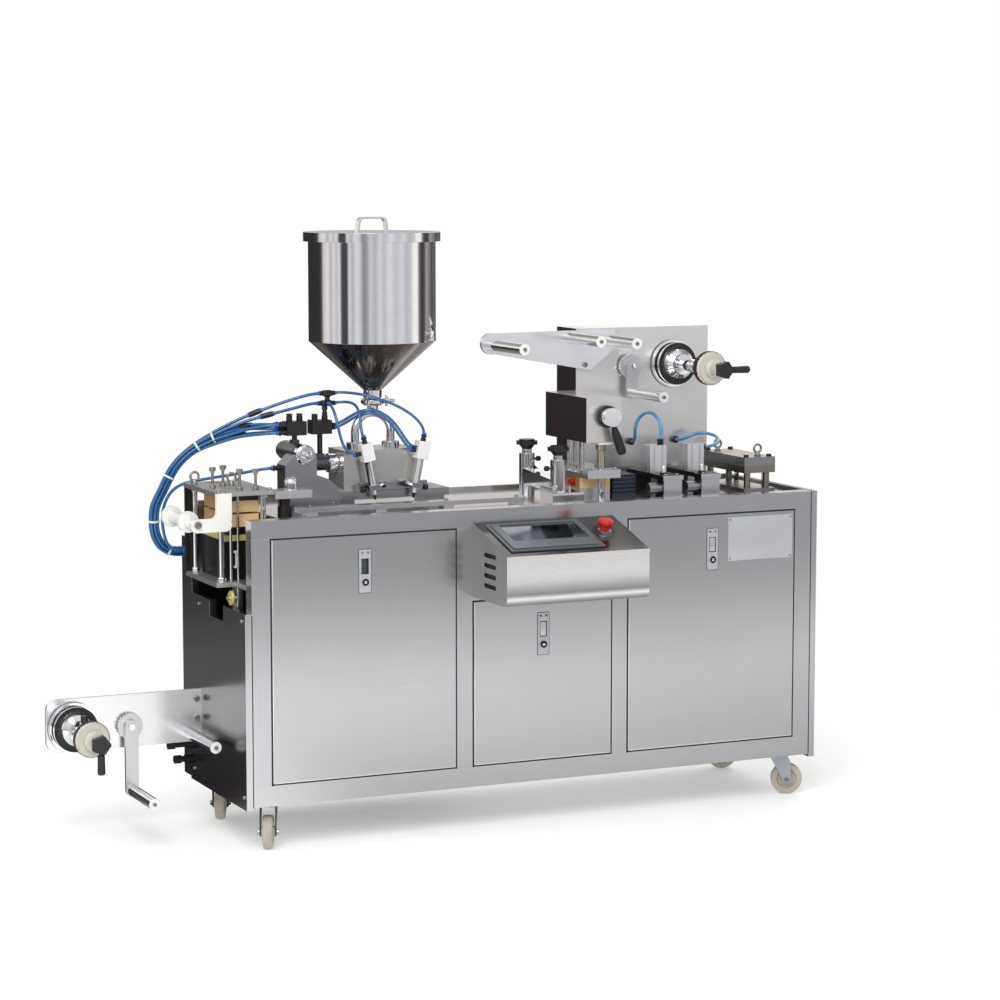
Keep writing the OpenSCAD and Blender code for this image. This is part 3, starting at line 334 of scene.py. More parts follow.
# painted shade: faces turned from the light, and recesses, coloured dark for the dark of the room and the
# shade in them
shadedSide = grainy("shaded steel side", "#33282a", "#261d1c", (0.30, 0.42), 3.0, 0.02, Metallic=0.25)
shadedCone = polishedSteel("shaded buffed cone", "#8c837c", "#776e68", (0.06, 0.12))
shadedBoxTop = brushedSteel("shaded box top", "#575350", "#494542", (0.16, 0.22), "x", 1.2)
latchWell = grainy("shaded latch well", "#5b6068", "#474b52", (0.30, 0.40), Metallic=0.6)
shadowBlack = grainy("painted shade in slot", "#161414", "#0c0b0b", (0.6, 0.8))
print("finishes ready:", len(bpy.data.materials))


# What each node is made of

nodeFinish = {
    stainlessPost: ["front_posts"],
    stainless: ["front_rails", "doors", "rear_panel", "base_pan"],
    shadedEndSheet: ["end_covers"],
    stainlessBox: ["control_box"],
    towerSteel: ["tower", "seal_head"],
    bedSteel: ["bed_deck", "film_rails"],
    polished: ["hopper", "hopper_lid", "feed_pipe"],
    pumpBlock: ["filler_block"],
    chrome: ["guide_posts", "nozzles", "film_rollers", "upper_spindle", "lower_spindle", "film_clamp"],
    plateSatin: ["door_latches"],
    machined: ["seal_plates", "upper_dancer", "lower_dancer", "hold_down"],
    armPlate: ["roller_arm", "reel_plate", "traction_cylinders"],
    castAlloy: ["forming_frame"],
    greySteel: ["filler_bracket", "die_plates"],
    shadedForkZinc: ["fork_front_left", "fork_rear_left"],
    paleZinc: ["fork_front_right", "fork_rear_right"],
    blackOxide: ["forming_blocks", "traction_bridges"],
    toolSteel: ["die_shoe"],
    anodised: ["filler_cylinders"],
    blackPlastic: ["air_valves", "star_knobs", "hose_ports"],
    blackRubber: ["seal_lever"],
    whitePlastic: ["guide_bracket", "guide_roller", "nozzle_heads"],
    nylonWheel: ["wheel_front_left", "wheel_rear_left", "wheel_front_right", "wheel_rear_right"],
    redPlastic: ["stop_button"],
    bezelGrey: ["screen_bezel"],
    screenGlass: ["screen_glass"],
    board: ["insulation_boards"],
    blueHose: ["hose_trunk", "hose_forming", "hose_nozzles", "hose_tower_left", "hose_tower_right"],
}
for finish, names in nodeFinish.items():
    for name in names:
        nodes[name].data.materials.clear()
        nodes[name].data.materials.append(finish)


def repaint(name, finish, rule):
    # faces of a node whose middle and normal meet a rule take another finish
    mesh = nodes[name].data
    middle, normal = np.zeros((2, len(mesh.polygons), 3), np.float32)
    mesh.polygons.foreach_get("center", middle.ravel())
    mesh.polygons.foreach_get("normal", normal.ravel())
    index = np.zeros(len(mesh.polygons), np.int32)
    mesh.polygons.foreach_get("material_index", index)
    mesh.materials.append(finish)
    index[rule(local(middle), normal)] = len(mesh.materials) - 1
    mesh.polygons.foreach_set("material_index", index)


# bands of the reel spindles along their axis: plate front, reach, axis x and height
reels = {"upper_spindle": (370, 238, 1367, 1051), "lower_spindle": (343, 186, -364, 174)}
for name, (front, reach, x, z) in reels.items():
    def far(p):
        return np.hypot(p[:, 0] - x, p[:, 2] - z)
    nose = front - reach
    repaint(name, blackOxide, lambda p, n: (np.abs(p[:, 1] - front + 22) < 4.5) & (far(p) < 51))
    repaint(name, creamHub, lambda p, n: (np.abs(p[:, 1] - nose + 16) < 26) & (far(p) < 47))
    repaint(name, blackRubber, lambda p, n: (np.abs(p[:, 1] - nose - 17) < 8) & (far(p) > 44.5))
    repaint(name, blackPlastic, lambda p, n: p[:, 1] < nose - 50)
    repaint(name, blackRubber, lambda p, n: (np.abs(p[:, 1] - front + 36) < 1) & (np.abs(far(p) - 52) < 6))
# boards: left and under faces browner, a painted shade, and the lowest one a passivated plate
repaint("insulation_boards", shadedBoard, lambda p, n: (n[:, 0] < -0.5) | (n[:, 2] < -0.5))
repaint("insulation_boards", yellowPlate, lambda p, n: p[:, 2] < 672)
# seal station: finned block, hub of the lever
repaint("seal_plates", blueAnodised, lambda p, n: p[:, 0] > 1086)
repaint("seal_lever", chrome,
        lambda p, n: (np.hypot(p[:, 0] - 1040, p[:, 2] - 935) < 25.5) & (p[:, 1] < 104.6))
# traction units: bare fronts, shafts to the left
repaint("traction_bridges", machined, lambda p, n: (p[:, 1] < 159) & (n[:, 1] < -0.5))
repaint("traction_bridges", greySteel,
        lambda p, n: np.minimum(np.abs(p[:, 0] - 1193), np.abs(p[:, 0] - 1308)) < 17.5)
# filler: ends of its two cylinders, knobs and tips of its nozzles
repaint("filler_cylinders", chrome, lambda p, n: (p[:, 0] < 265) & (p[:, 1] < 262))
repaint("filler_cylinders", chrome, lambda p, n: p[:, 0] > 330)
repaint("nozzles", blackPlastic, lambda p, n: np.abs(np.abs(p[:, 0] - 484.5) - 53.5) > 20)
repaint("nozzles", blackOxide, lambda p, n: p[:, 2] < 745)
# control box: sides and sloping top in painted shade, what stands proud of the top, louvres in painted shade
repaint("control_box", shadedBoxSide, lambda p, n: np.abs(n[:, 0]) > 0.5)
repaint("control_box", shadedBoxTop, lambda p, n: n[:, 2] > 0.7)
repaint("control_box", machined, lambda p, n: p[:, 2] > 626 + (p[:, 1] + 210) * 62 / 210)
boxSide = nodeBox("control_box")[0][0]
# painted shade: the inner faces of the louvres, dark for the shade inside them
repaint("control_box", shadowBlack,
        lambda p, n: (np.abs(p[:, 0] - boxSide - 3.75) < 3.25) & (np.abs(p[:, 1] + 110) < 70))
# painted shade: left faces and the cone's underside, coloured dark for the dark of the room they mirror
repaint("seal_head", shadedSide, lambda p, n: n[:, 0] < -0.5)
repaint("tower", shadedSide, lambda p, n: n[:, 0] < -0.5)
repaint("hopper", shadedCone, lambda p, n: n[:, 2] < -0.3)
# plastic ends of the rollers, chromed rollers of the dancer arms
repaint("film_rollers", whitePlastic, lambda p, n: n[:, 1] < -0.9)
repaint("upper_dancer", chrome, lambda p, n: (p[:, 1] < 340) | (p[:, 1] > 352.5))
repaint("lower_dancer", chrome, lambda p, n: (p[:, 1] < 314) | (p[:, 1] > 325.5))
# feet, legs, posts and plates of the stations on the bed
repaint("hold_down", blackOxide, lambda p, n: p[:, 2] < 757)
repaint("hold_down", chrome, lambda p, n: p[:, 2] > 779)
repaint("forming_frame", blackOxide, lambda p, n: (p[:, 1] > 352) & (p[:, 2] > 558) & (p[:, 2] < 770))
repaint("guide_posts", brass, lambda p, n: (np.hypot(p[:, 0] - 1035, p[:, 1] - 140) < 11) & (p[:, 2] > 793))
repaint("die_plates", toolSteel, lambda p, n: (n[:, 2] > 0.5) & (p[:, 2] > 770))
repaint("guide_posts", toolSteel, lambda p, n: p[:, 0] > 1450)
# wells of the latches in painted shade, front edges of the end covers
repaint("door_latches", latchWell, lambda p, n: (p[:, 1] > 1) & (p[:, 1] < 12))
# front edges of the end covers keep the sheet's own brushed stainless; the rest is in painted shade
repaint("end_covers", stainless, lambda p, n: n[:, 1] < -0.5)


def paintReflectionByHeight(material, bottom, top, stops):
    # painted reflection: a finish made darker and lighter by height, for the room that a bent sheet mirrors;
    # stops are part of height and tone
    tree = material.node_tree
    shader = next(n for n in tree.nodes if n.type == "BSDF_PRINCIPLED")
    coords = next(n for n in tree.nodes if n.type == "TEX_COORD").outputs["Object"]
    upward = addNode(tree, "ShaderNodeSeparateXYZ", links={0: coords})
    part = addNode(tree, "ShaderNodeMapRange", {"From Min": bottom, "From Max": top},
                   {"Value": upward.outputs[2]})
    ramp = addNode(tree, "ShaderNodeValToRGB", links={0: part.outputs[0]})
    steps = ramp.color_ramp.elements
    for k, (at, tone) in enumerate(stops):
        step = steps[k] if k < 1 else steps.new(at)
        step.position, step.color = at, (tone, tone, tone, 1)
    steps.remove(steps[len(steps) - 1])
    base = shader.inputs["Base Color"]
    shaded = addNode(tree, "ShaderNodeMix", {0: 1.0}, {6: base.links[0].from_socket, 7: ramp.outputs[0]},
                     data_type="RGBA", blend_type="MULTIPLY")
    tree.links.new(shaded.outputs[2], base)


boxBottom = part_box("control_box")[0][2]
# painted reflection on the box front: dark underside, bright highlight on the lower roll, a dark band, then
# lighter up the face
paintedBoxReflection = [(0, 0.30), (0.07, 0.5), (0.13, 0.95), (0.17, 0.9), (0.23, 0.38), (0.32, 0.55), (0.48, 0.9),
            (0.62, 1.0), (0.97, 0.95)]
paintReflectionByHeight(stainlessBox, boxBottom, boxBottom + 0.128, paintedBoxReflection)
print("nodes finished")


# Air hoses, one smooth tube for each; the source's plainer hoses that they replace are hidden

def besideRoute(route, out, up):
    # a route moved sideways: p + out y + up (t x y), t the way along it
    p = np.asarray(route, float)
    t = unit(np.gradient(p, axis=0))
    return p + out * np.array([0, 1.0, 0]) + up * unit(np.cross(t, [0, 1.0, 0]))


def hose(name, route, diameter, nodeNames=(), finish=blueHose, count=110):
    # a circle swept along the smooth route; the nodes it replaces are hidden
    line = smooth(route, count)
    tube = piece(name, [swept(line, diameter / 2, 14)], finish)
    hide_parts(*nodeNames)


trunk = {"tube": 8.4, "pitch": 9.6, "shared": 9,
         "route": [(-18, 455, 595), (-45, 455, 595), (-74, 455, 604), (-100, 452, 638), (-107, 448, 678),
                   (-103, 444, 719), (-86, 440, 756), (-60, 434, 808), (-10, 424, 860), (40, 406, 892),
                   (90, 384, 911), (135, 350, 918), (168, 326, 918), (188, 320, 918), (209, 320, 918)],
         "tails": [[(40, 415.5, 895.8), (95, 392, 916), (145, 362, 927), (180, 337, 928), (209, 331, 928)],
                   [(35.4, 410.6, 901.5), (100, 390, 936), (175, 364, 968), (245, 344, 992),
                    (298, 332, 1004), (322, 330, 1005)],
                   [(37.7, 399, 899.5), (105, 376, 930), (180, 352, 953), (250, 338, 970), (296, 331, 979),
                    (318, 330, 979)],
                   [(42.3, 394.4, 888.5), (95, 368, 908), (145, 332, 924), (182, 312, 928), (209, 309, 928)],
                   [(48, 396.5, 878.5), (98, 366, 896), (148, 330, 905), (182, 312, 908), (209, 309, 908)],
                   [(47, 411, 883), (98, 384, 898), (148, 352, 906), (182, 335, 908), (209, 331, 908)]]}
bundle = []
for k, tail in enumerate(trunk["tails"]):
    a = math.radians(60 * k)
    out, over = trunk["pitch"] * math.cos(a), trunk["pitch"] * math.sin(a)
    shared = besideRoute(trunk["route"][:trunk["shared"]], out, over)
    bundle.append(np.r_[shared, tail])
    hose("air_hose_%d" % (k + 1), bundle[k], trunk["tube"], ["hose_trunk"] if k == 0 else [])
hose("water_hose", trunk["route"], trunk["tube"])
formingHose = [(-18, 425, 600), (-45, 425, 600), (-70, 426, 610), (-86, 428, 645), (-90, 428, 690),
               (-80, 424, 735), (-60, 415, 764), (0, 392, 786), (60, 352, 799), (110, 312, 811),
               (145, 288, 819), (165, 285, 820), (180, 285, 820)]
hose("forming_hose", formingHose, 8.0, ["hose_forming"])
nozzleHose = [(337, 330, 918), (348, 330, 918.4), (366, 325, 924), (386, 307, 939), (405, 286, 953),
              (430, 271, 958), (460, 262, 948), (489, 254, 921), (508, 249, 893), (521, 246.4, 874),
              (533, 245, 863), (546.5, 245, 857.7)]
nozzleTube, apart = 7.4, 4.2  # diameter, and half the way between the two that run together
hose("nozzle_hose_a", besideRoute(nozzleHose, 0, apart), nozzleTube, ["hose_nozzles"])
hose("nozzle_hose_b", besideRoute(nozzleHose, 0, -apart), nozzleTube)
hose("nozzle_hose_c", [(344, 330, 979), (353, 330, 979.5), (373, 324, 981), (390, 306, 979), (397, 284, 968),
                       (397, 266, 945), (396, 254, 917), (398, 247.4, 895), (402.4, 245, 877.7)], nozzleTube)
hose("nozzle_hose_d", [(329, 321, 979), (329, 309, 979), (329.5, 290, 971), (331, 272, 952), (334, 259, 922),
                       (340, 251, 888), (351, 246.5, 864.5), (369, 245, 852.5), (391.1, 245, 851.6)],
     nozzleTube)
hose("nozzle_hose_e", [(344, 330, 1005), (358, 329, 1006), (378, 318, 1006), (398, 298, 1004),
                       (420, 279, 1000), (450, 266, 991), (490, 257, 975), (530, 250.5, 952),
                       (557, 246.5, 927), (567.4, 245, 907.7), (568.7, 245, 889), (566.6, 245, 877.7)],
     nozzleTube)
towerLeft = [(1238, 370, 839), (1238, 358, 839), (1232.4, 327.2, 853.8), (1226.2, 313.1, 878.8),
             (1231.3, 298, 910.4), (1242, 267.5, 926.4), (1252.3, 232.4, 913.4), (1256, 217.5, 875.7),
             (1255, 220, 854), (1255, 220, 842)]
towerRight = [(1376, 370, 839), (1376, 358, 839), (1391.4, 328.3, 846.4), (1413.2, 317, 856.8),
              (1435.9, 306.7, 859.2), (1456, 276.2, 852.7), (1445.9, 242.2, 840.4), (1407.7, 228, 830.7),
              (1393, 230, 830), (1381.5, 230, 830)]
hose("tower_hose_left", towerLeft, 9.4, ["hose_tower_left"], paleHose)
hose("tower_hose_right", towerRight, 9.4, ["hose_tower_right"], paleHose)


# Small pieces that the part's source leaves to this script

def capScrew(at, axis, r):
    # socket head: short cylinder, broken edge, well in the top
    h = 0.9 * r
    profile = [(r, 0), (r, 0.8 * h), (0.88 * r, h), (0.52 * r, h), (0.48 * r, 0.4 * h), (0, 0.4 * h)]
    return turned(profile, at, axis, 18)


def hexNut(at, axis, r, h):
    # six-sided drum of radius r over its corners, both ends broken
    return turned([(0.9 * r, 0), (r, 0.12 * h), (r, 0.88 * h), (0.9 * r, h), (0, h)], at, axis, 6)


def pushIn(at, axis, r=7.0, h=20.0):
    # push-in fitting: hexagon skirt, waist, round release ring
    return turned([(r, 0), (r, 0.4 * h), (0.8 * r, 0.46 * h), (0.8 * r, 0.6 * h), (1.1 * r, 0.66 * h),
                   (1.1 * r, 0.88 * h), (0.8 * r, h), (0, h)], at, axis, 20)


def eyebolt(at, ring=11.0, wire=3.2):
    # collar on the plate and a ring over it: circle of the ring's radius carried round as a tube
    a = np.linspace(0, 2 * math.pi, 32, endpoint=False)[:, None]
    way = np.cos(a) * right + np.sin(a) * up
    loop = np.asarray(at, float) + (0, 0, 9 + ring) + ring * way
    return [swept(loop, wire, 12, True), turned([(9, 0), (9, 3), (6, 6), (4, 11), (0, 11)], at)]


def helix(at, r, wire, height, turns):
    # coil spring: r cos t, r sin t, rising evenly
    t = np.linspace(0, 2 * math.pi * turns, int(turns * 20))
    path = np.asarray(at, float) + np.stack([r * np.cos(t), r * np.sin(t), height * t / t[-1]], -1)
    return swept(path, wire, 8)


left, right, front, up = (-1, 0, 0), (1, 0, 0), (0, -1, 0), (0, 0, 1)
latchAt = {"left": (302.5, 581), "middle": (800, 388), "right": (1297.5, 581)}
screws = {
    "bright": [((-18, 353, 470), left, 5), ((-18, 23, 471), left, 5), ((-18, 14, 26), left, 5),
               ((-18, 405, 26), left, 5), ((-32, 343, 223), front, 8), ((-32, 343, 173), front, 8),
               ((1094, 358, 1055), front, 7), ((1160, 358, 1128), front, 6), ((-40, 125, 784), up, 6),
               ((95, 125, 784), up, 6), ((95, 365, 784), up, 6), ((-44, 112, 782), up, 5),
               ((-22, 112, 782), up, 5), ((-102, 106, 706), front, 9), ((195, 240, 725), front, 6),
               ((315, 240, 725), front, 6), ((215, 157, 730), up, 5), ((405, 157, 730), up, 5),
               ((595, 157, 730), up, 5), ((795, 157, 730), up, 5), ((998, 130, 792), up, 6),
               ((1072, 130, 792), up, 6)]
              + [((x, 130, 768), up, 4.5) for x in (1224, 1259, 1339, 1374)]
              + [((x + k, -1, z + 47), front, 3) for x, z in latchAt.values() for k in (-8, 8)],
    "dark": [((x, y, 807), up, 7) for x in (1471, 1542) for y in (131, 346)]
            + [((1090, 183, z), left, 4) for z in (716, 764)]
            + [((76, y, z), right, 4) for y in (165, 320) for z in (712, 742)],
}
piece("bright_screws", [capScrew(*k) for k in screws["bright"]], zincSteel)
piece("dark_screws", [capScrew(*k) for k in screws["dark"]], blackOxide)

# latches: lock ring with its key, flap, raised rim
lockShells, flapShells, rimShells = [], [], []
for name, (x, z) in latchAt.items():
    lockShells.append(turned([(9.2, 0), (9.2, 1.2), (8, 2), (5.5, 2), (5.2, 1), (0, 1)],
                             (x, -4, z - 28), front, 24))
    rimShells += [block((x + k - 0.9, -0.7, z - 55), (x + k + 0.9, 0.2, z + 55), 0.3) for k in (-16.6, 16.6)]
    rimShells += [block((x - 17, -0.7, z + k - 0.9), (x + 17, 0.2, z + k + 0.9), 0.3) for k in (-55.6, 55.6)]
    if name != "left":
        flapShells.append(block((x - 8.4, -0.4, z - 6.4), (x + 8.4, 5, z + 30.4), 0.8))
piece("latch_lock_rings", lockShells, blackOxide)
piece("latch_keys", [block((x - 3.6, -6.4, z - 31.6), (x + 3.6, -4, z - 24.4), 1.0)
                     for x, z in latchAt.values()], chrome)
piece("latch_flaps", flapShells, machined)
piece("latch_rims", rimShells, anodised)

doorBoxes = [(53, 56, 552, 672), (603, 56, 997, 482), (1048, 56, 1547, 672)]  # left, bottom, right, top
# painted shade: thin black rubber strips round each door and at the seams beside the end covers, widening
# the dark gaps between the parts
gapShade, highlightRolls = [], []
for x0, z0, x1, z1 in doorBoxes:
    gapShade += [block((x0 - 4.5, -0.4, z0 - 4.5), (x0 - 0.2, 1.6, z1 + 4.5), 0.3),
                block((x1 + 0.2, -0.4, z0 - 4.0), (x1 + 3.4, 1.6, z1 + 4.5), 0.3),
                block((x0 - 4.0, -0.4, z1 + 0.2), (x1 + 3.2, 1.6, z1 + 4.5), 0.3),
                block((x0 - 4.0, -0.4, z0 - 3.6), (x1 + 3.2, 1.6, z0 - 0.2), 0.3)]
    highlightRolls += [block((x0, -1.1, z0), (x0 + 3.4, 1, z1), 1.0), block((x0, -1.1, z0), (x1, 1, z0 + 3.4), 1.0)]
gapShade += [block((-1.4, -0.5, 0), (1.2, 0.4, 486), 0.3), block((1598.6, -0.5, 0), (1601.2, 0.4, 721), 0.3)]
piece("door_gap_shade", gapShade, blackRubber)
# painted highlight: rolled left and bottom door edges in the bright arm-plate finish, a light line where the
# edges catch the light
piece("door_edge_highlight_rolls", highlightRolls, armPlate)

plate = {"low": (1345, -1.4, 546), "high": (1541, 0, 663)}  # bare name plate on the right door
piece("name_plate", [block(plate["low"], plate["high"], 0.6)], plateSatin)
piece("name_plate_rivets", [turned([(3, 0), (2.6, 0.9), (1.4, 1.6), (0, 1.8)], (x, -1.4, z), front, 14)
                            for x in (1351, 1535) for z in (552, 657)], zincSteel)

eyes = [(-36, 325, 784), (42, 262, 784), (1518, 151, 807), (1486, 318, 807)]
piece("lifting_eyes", [k for at in eyes for k in eyebolt(at)], zincSteel)

# on and under the forming station: wing screws, rods and nuts, cam, gauge tube
wings = {"feet": [(-24, 218), (15, 250), (24, 148), (62, 136)], "base": 784, "top": 832}
wingParts = []
for x, y in wings["feet"]:
    wingParts += [turned([(3.6, 0), (3.6, wings["top"] - wings["base"]), (0, wings["top"] - wings["base"])],
                         (x, y, wings["base"]), up, 14), hexNut((x, y, wings["base"]), up, 8, 8),
                  turned([(6, 0), (5, 10), (0, 10)], (x, y, wings["top"] - 8), up, 14),
                  block((x - 9, y - 2.5, wings["top"] - 4), (x + 9, y + 2.5, wings["top"] + 6), 2.2)]
piece("wing_screws", wingParts, zincSteel)

formingBits = {"rods": [(-8, 128), (12, 131)], "nuts": [(-28, 143), (84, 143), (-28, 347), (84, 347)]}
piece("forming_rods", [turned([(3.5, 0), (3.5, 216), (0, 216)], (x, y, 556), up, 14)
                       for x, y in formingBits["rods"]]
      + [hexNut((x, y, 556), up, 12, 10) for x, y in formingBits["nuts"]]
      + [hexNut((x, y, 762), up, 11, 10) for x, y in formingBits["nuts"]], chrome)
piece("cam_block", [block((2, 112, 484), (18, 150, 544), 1.5),
                    turned([(5, 0), (5, 24), (0, 24)], (2, 124, 515), left, 16)], machined)
piece("cam_disc", [turned([(18, 0), (19, 1.5), (19, 6), (18, 7.5), (0, 7.5)], (-6, 124, 515), left, 28)],
      yellowPlate)
piece("gauge_tube", [turned([(3, 0), (3, 36), (0, 36)], (15, 153, 590), up, 12),
                     block((9, 150, 586), (21, 158, 592), 1),
                     block((9, 150, 624), (21, 158, 630), 1)], whitePlastic)

# film clamp: link between its knobs, thumb screws, stop
linkRoute = [(932, 340, 786), (936, 300, 768), (936, 255, 760), (934, 200, 762), (928, 160, 766)]
piece("clamp_link", [swept(smooth(linkRoute, 40), 4.5, 12)], blackOxide)
piece("thumb_screws", [turned([(3, 0), (3, 8), (7, 9), (7, 18), (5, 20), (0, 20)], at, axis, 20)
                       for at, axis in (((934, 345, 806), right), ((894, 150, 800), left))],
      blackPlastic)
piece("clamp_stop", [block((880, 112, 738), (888, 188, 752), 1),
                     turned([(3, 0), (3, 15), (0, 16)], (940, 134, 738), up, 12)], machined)

# seal station, die set and traction units
piece("seal_nut", [turned([(12, 0), (14, 2), (14, 15), (12, 17), (0, 17)], (1035, 140, 843), up, 24)],
      brass)
piece("seal_guide", [block((1021, 122, 859), (1060, 158, 866), 1)], whitePlastic)
piece("red_plug", [turned([(9, 0), (9, 6), (7, 8), (7, 13), (4, 15), (0, 15)], (990, 212, 755), left, 20)],
      redPlastic)
piece("die_springs", [helix((1545, y, 722), 6, 1.6, 42, 8) for y in (162, 315)], blackOxide)
pinAt = [(1228, 150, 768), (1345, 150, 768)]  # foot of each traction unit's pin
piece("traction_pins", [turned([(6, 0), (6, 20), (4.5, 24), (0, 24)], at, up, 18) for at in pinAt], chrome)
piece("traction_rings", [turned([(10, 0), (10, 6), (8, 7), (0, 7)], at, up, 18) for at in pinAt], blackOxide)

# fittings where hoses end, joiners and collars on them, splitters
leanX, leanZ = 0.1908, 0.9816  # sine and cosine of the nozzles' lean of 11 degrees
overLeft, overRight = (-leanX, 0, leanZ), (leanX, 0, leanZ)  # up along the left and the right nozzle
offLeft, offRight = (-leanZ, 0, -leanX), (-leanZ, 0, leanX)  # square to them, to the left
valveHoles = [(331, 928), (309, 928), (309, 908), (331, 908), (320, 918)]
fittings = [((209, y, z), left, 7, 22) for y, z in valveHoles]
fittings += [((337, 330, 922.2), right, 5, 14), ((337, 330, 913.8), right, 5, 14),
             ((1255, 220, 842), up, 9, 16), ((1381.5, 230, 830), right, 8, 16),
             ((1238, 370, 839), front, 9, 14), ((1376, 370, 839), front, 9, 14),
             ((402.4, 245, 877.2), overLeft, 7, 18), ((391.1, 245, 851.6), offLeft, 6, 16),
             ((566.6, 245, 877.2), overRight, 7, 18), ((547.3, 245, 861.8), offRight, 5, 14),
             ((545.7, 245, 853.6), offRight, 5, 14), ((180, 285, 820), left, 7, 18),
             ((-18, 425, 600), left, 8, 14), ((344, 330, 979), right, 6, 8), ((344, 330, 1005), right, 6, 8),
             ((329, 321, 979), front, 6, 8), ((318, 330, 1005), left, 6, 8), ((314, 330, 979), left, 6, 8)]
ports = [((222, 320, 946), up, 8, 10), ((250, 320, 946), up, 8, 10), ((296, 330, 946), up, 8, 6),
         ((324, 330, 946), up, 7, 25), ((332, 330, 987), up, 7, 10)]
piece("push_in_fittings", [pushIn(*k) for k in fittings + ports], blackPlastic)
joinAt = [(1, 150), (2, 172), (0, 120), (5, 104)]  # which tube of the bundle, and how far right along it
joiners, collars = [], []
for tube, x in joinAt:
    line = smooth(bundle[tube], 110)
    i = np.abs(line[:, 0] - x).argmin()
    way = unit(line[i + 1] - line[i - 1])
    joiners.append(turned([(5, -17), (7, -16), (7.4, -5), (7.4, 5), (7, 16), (5, 17)], line[i], way, 18))
    collars += [turned([(5, 16), (6, 16.5), (6, 21), (5, 21.5)], line[i], way * k, 18) for k in (1, -1)]
for at, axis, r, h in fittings:
    if at[0] < 1000:  # the tower's fittings have none
        ring = [(4.2, 0), (0.86 * r, 0.5), (0.86 * r, 4.5), (4.2, 5)]
        collars.append(turned(ring, np.add(at, h * np.array(axis)), axis, 18))
piece("hose_joiners", joiners, blackPlastic)
piece("hose_collars", collars, blueCollar)
splitters = [block((318, 321, 997), (344, 339, 1013), 4), block((314, 321, 971), (344, 339, 987), 4)]
piece("hose_splitters", splitters, blackPlastic)

# white ties round the bundle
tieAt = [1, 3, 5.6, 7.9, 8.9]
trunkLine = smooth(trunk["route"], 131)
tieShells = []
for k in tieAt:
    i = int(round(k * 10))
    way = unit(trunkLine[i + 1] - trunkLine[i - 1])
    tieShells.append(turned([(14.2, -2.5), (15.4, -2.5), (15.4, 2.5), (14.2, 2.5)], trunkLine[i], way, 24))
piece("hose_ties", tieShells, whitePlastic)
print("small pieces built")

# on moving bodies too: screws in the roller ends, lock of the lower reel
ends = {"machine": [(815, 147, 1116), (1045, 160, 1130), (1161, 178, 1121), (-53, 130, 134)],
        "upper_arm": [(1232, 157, 976)], "lower_arm": [(-216, 130, 3)]}
for body, spots in ends.items():
    piece("roller_end_screws_" + body, [capScrew(at, front, 5) for at in spots], zincSteel, body)

lock = {"at": (-364, 236, 190), "profile": [(5, 0), (5, 12), (8, 13), (9, 17), (9, 30), (7, 33), (0, 33)]}
piece("lower_reel_lock", [turned(lock["profile"], lock["at"], up, 22)], blackPlastic, "lower_reel")

# axle nuts of the casters: swivel axis and turn of each, and the axle's height and trail behind that axis
casters = {"front_left": (62, 62, -24), "rear_left": (62, 428, -24), "front_right": (1538, 62, 66),
           "rear_right": (1538, 428, 66)}
axle = {"height": -72.5, "trail": 26.0, "half": 21}
for name, (x, y, degrees) in casters.items():
    c, s = math.cos(math.radians(degrees)), math.sin(math.radians(degrees))
    way = np.array([c, s, 0])
    hub = np.array([x, y, axle["height"]]) + axle["trail"] * np.array([s, -c, 0])
    pair = [hexNut(hub + axle["half"] * way, way, 7, 6), hexNut(hub - axle["half"] * way, -way, 7, 6)]
    piece("axle_nuts_" + name, pair, zincSteel, "fork_" + name)
print("screws and nuts built")


# Camera, light and stage

view = {"at": (-2390, -6710, 1616), "tilt": 90 - 6.75, "pan": -24.56, "lens": 104.26}
camera = bpy.data.objects.new("camera", bpy.data.cameras.new("camera"))
camera.data.sensor_width, camera.data.lens = 36, view["lens"]
camera.data.clip_end = 60
camera.location = place(view["at"])
camera.rotation_euler = (math.radians(view["tilt"]), 0, math.radians(view["pan"]))
bpy.context.scene.collection.objects.link(camera)
bpy.context.scene.camera = camera

light = {"fill": 0.62, "size": 3.2,
         "lamps": [("key light", 190, (-2.6, -3.6, 4.4)), ("rim light", 60, (3.0, 2.6, 3.6))]}
for name, power, at in light["lamps"]:
    lamp = bpy.data.lights.new(name, "AREA")
    lamp.energy, lamp.size = power, light["size"]
    lampObject = bpy.data.objects.new(name, lamp)
    lampObject.location = at
    aim = unit(np.array([0, 0, 0.7]) - at)
    lampObject.rotation_euler = (math.acos(-aim[2]), 0, math.atan2(aim[1], aim[0]) - math.pi / 2)
    bpy.context.scene.collection.objects.link(lampObject)

world = bpy.data.worlds.new("white studio")
bpy.context.scene.world = world
world.use_nodes = True
tree = world.node_tree
tree.nodes.clear()
rays = addNode(tree, "ShaderNodeLightPath")
seen = addNode(tree, "ShaderNodeMath", operation="MAXIMUM",
               links={0: rays.outputs["Is Camera Ray"], 1: rays.outputs["Is Glossy Ray"]})
seen = addNode(tree, "ShaderNodeMath", links={0: seen.outputs[0], 1: rays.outputs["Is Transmission Ray"]},
               operation="MAXIMUM")
fill = addNode(tree, "ShaderNodeBackground", {"Color": (1, 1, 1, 1), "Strength": light["fill"]})
white = addNode(tree, "ShaderNodeBackground", {"Color": (1, 1, 1, 1), "Strength": 1.0})
mixed = addNode(tree, "ShaderNodeMixShader",
                links={0: seen.outputs[0], 1: fill.outputs[0], 2: white.outputs[0]})
addNode(tree, "ShaderNodeOutputWorld", links={"Surface": mixed.outputs[0]})


def stagePiece(name, rows, shader):
    # rows of points as an open sheet, quads from each row to the next
    mesh = bpy.data.meshes.new(name)
    n, m = rows.shape[:2]
    a, b = np.arange(n - 1)[:, None] * m, np.arange(m - 1)[None, :]
    quads = np.stack([a + b, a + b + 1, a + m + b + 1, a + m + b], -1).reshape(-1, 4)
    mesh.from_pydata(rows.reshape(-1, 3), [], quads.tolist())
    mesh.materials.append(shader)
    obj = bpy.data.objects.new(name, mesh)
    bpy.context.scene.collection.objects.link(obj)
    obj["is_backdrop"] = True
    return obj


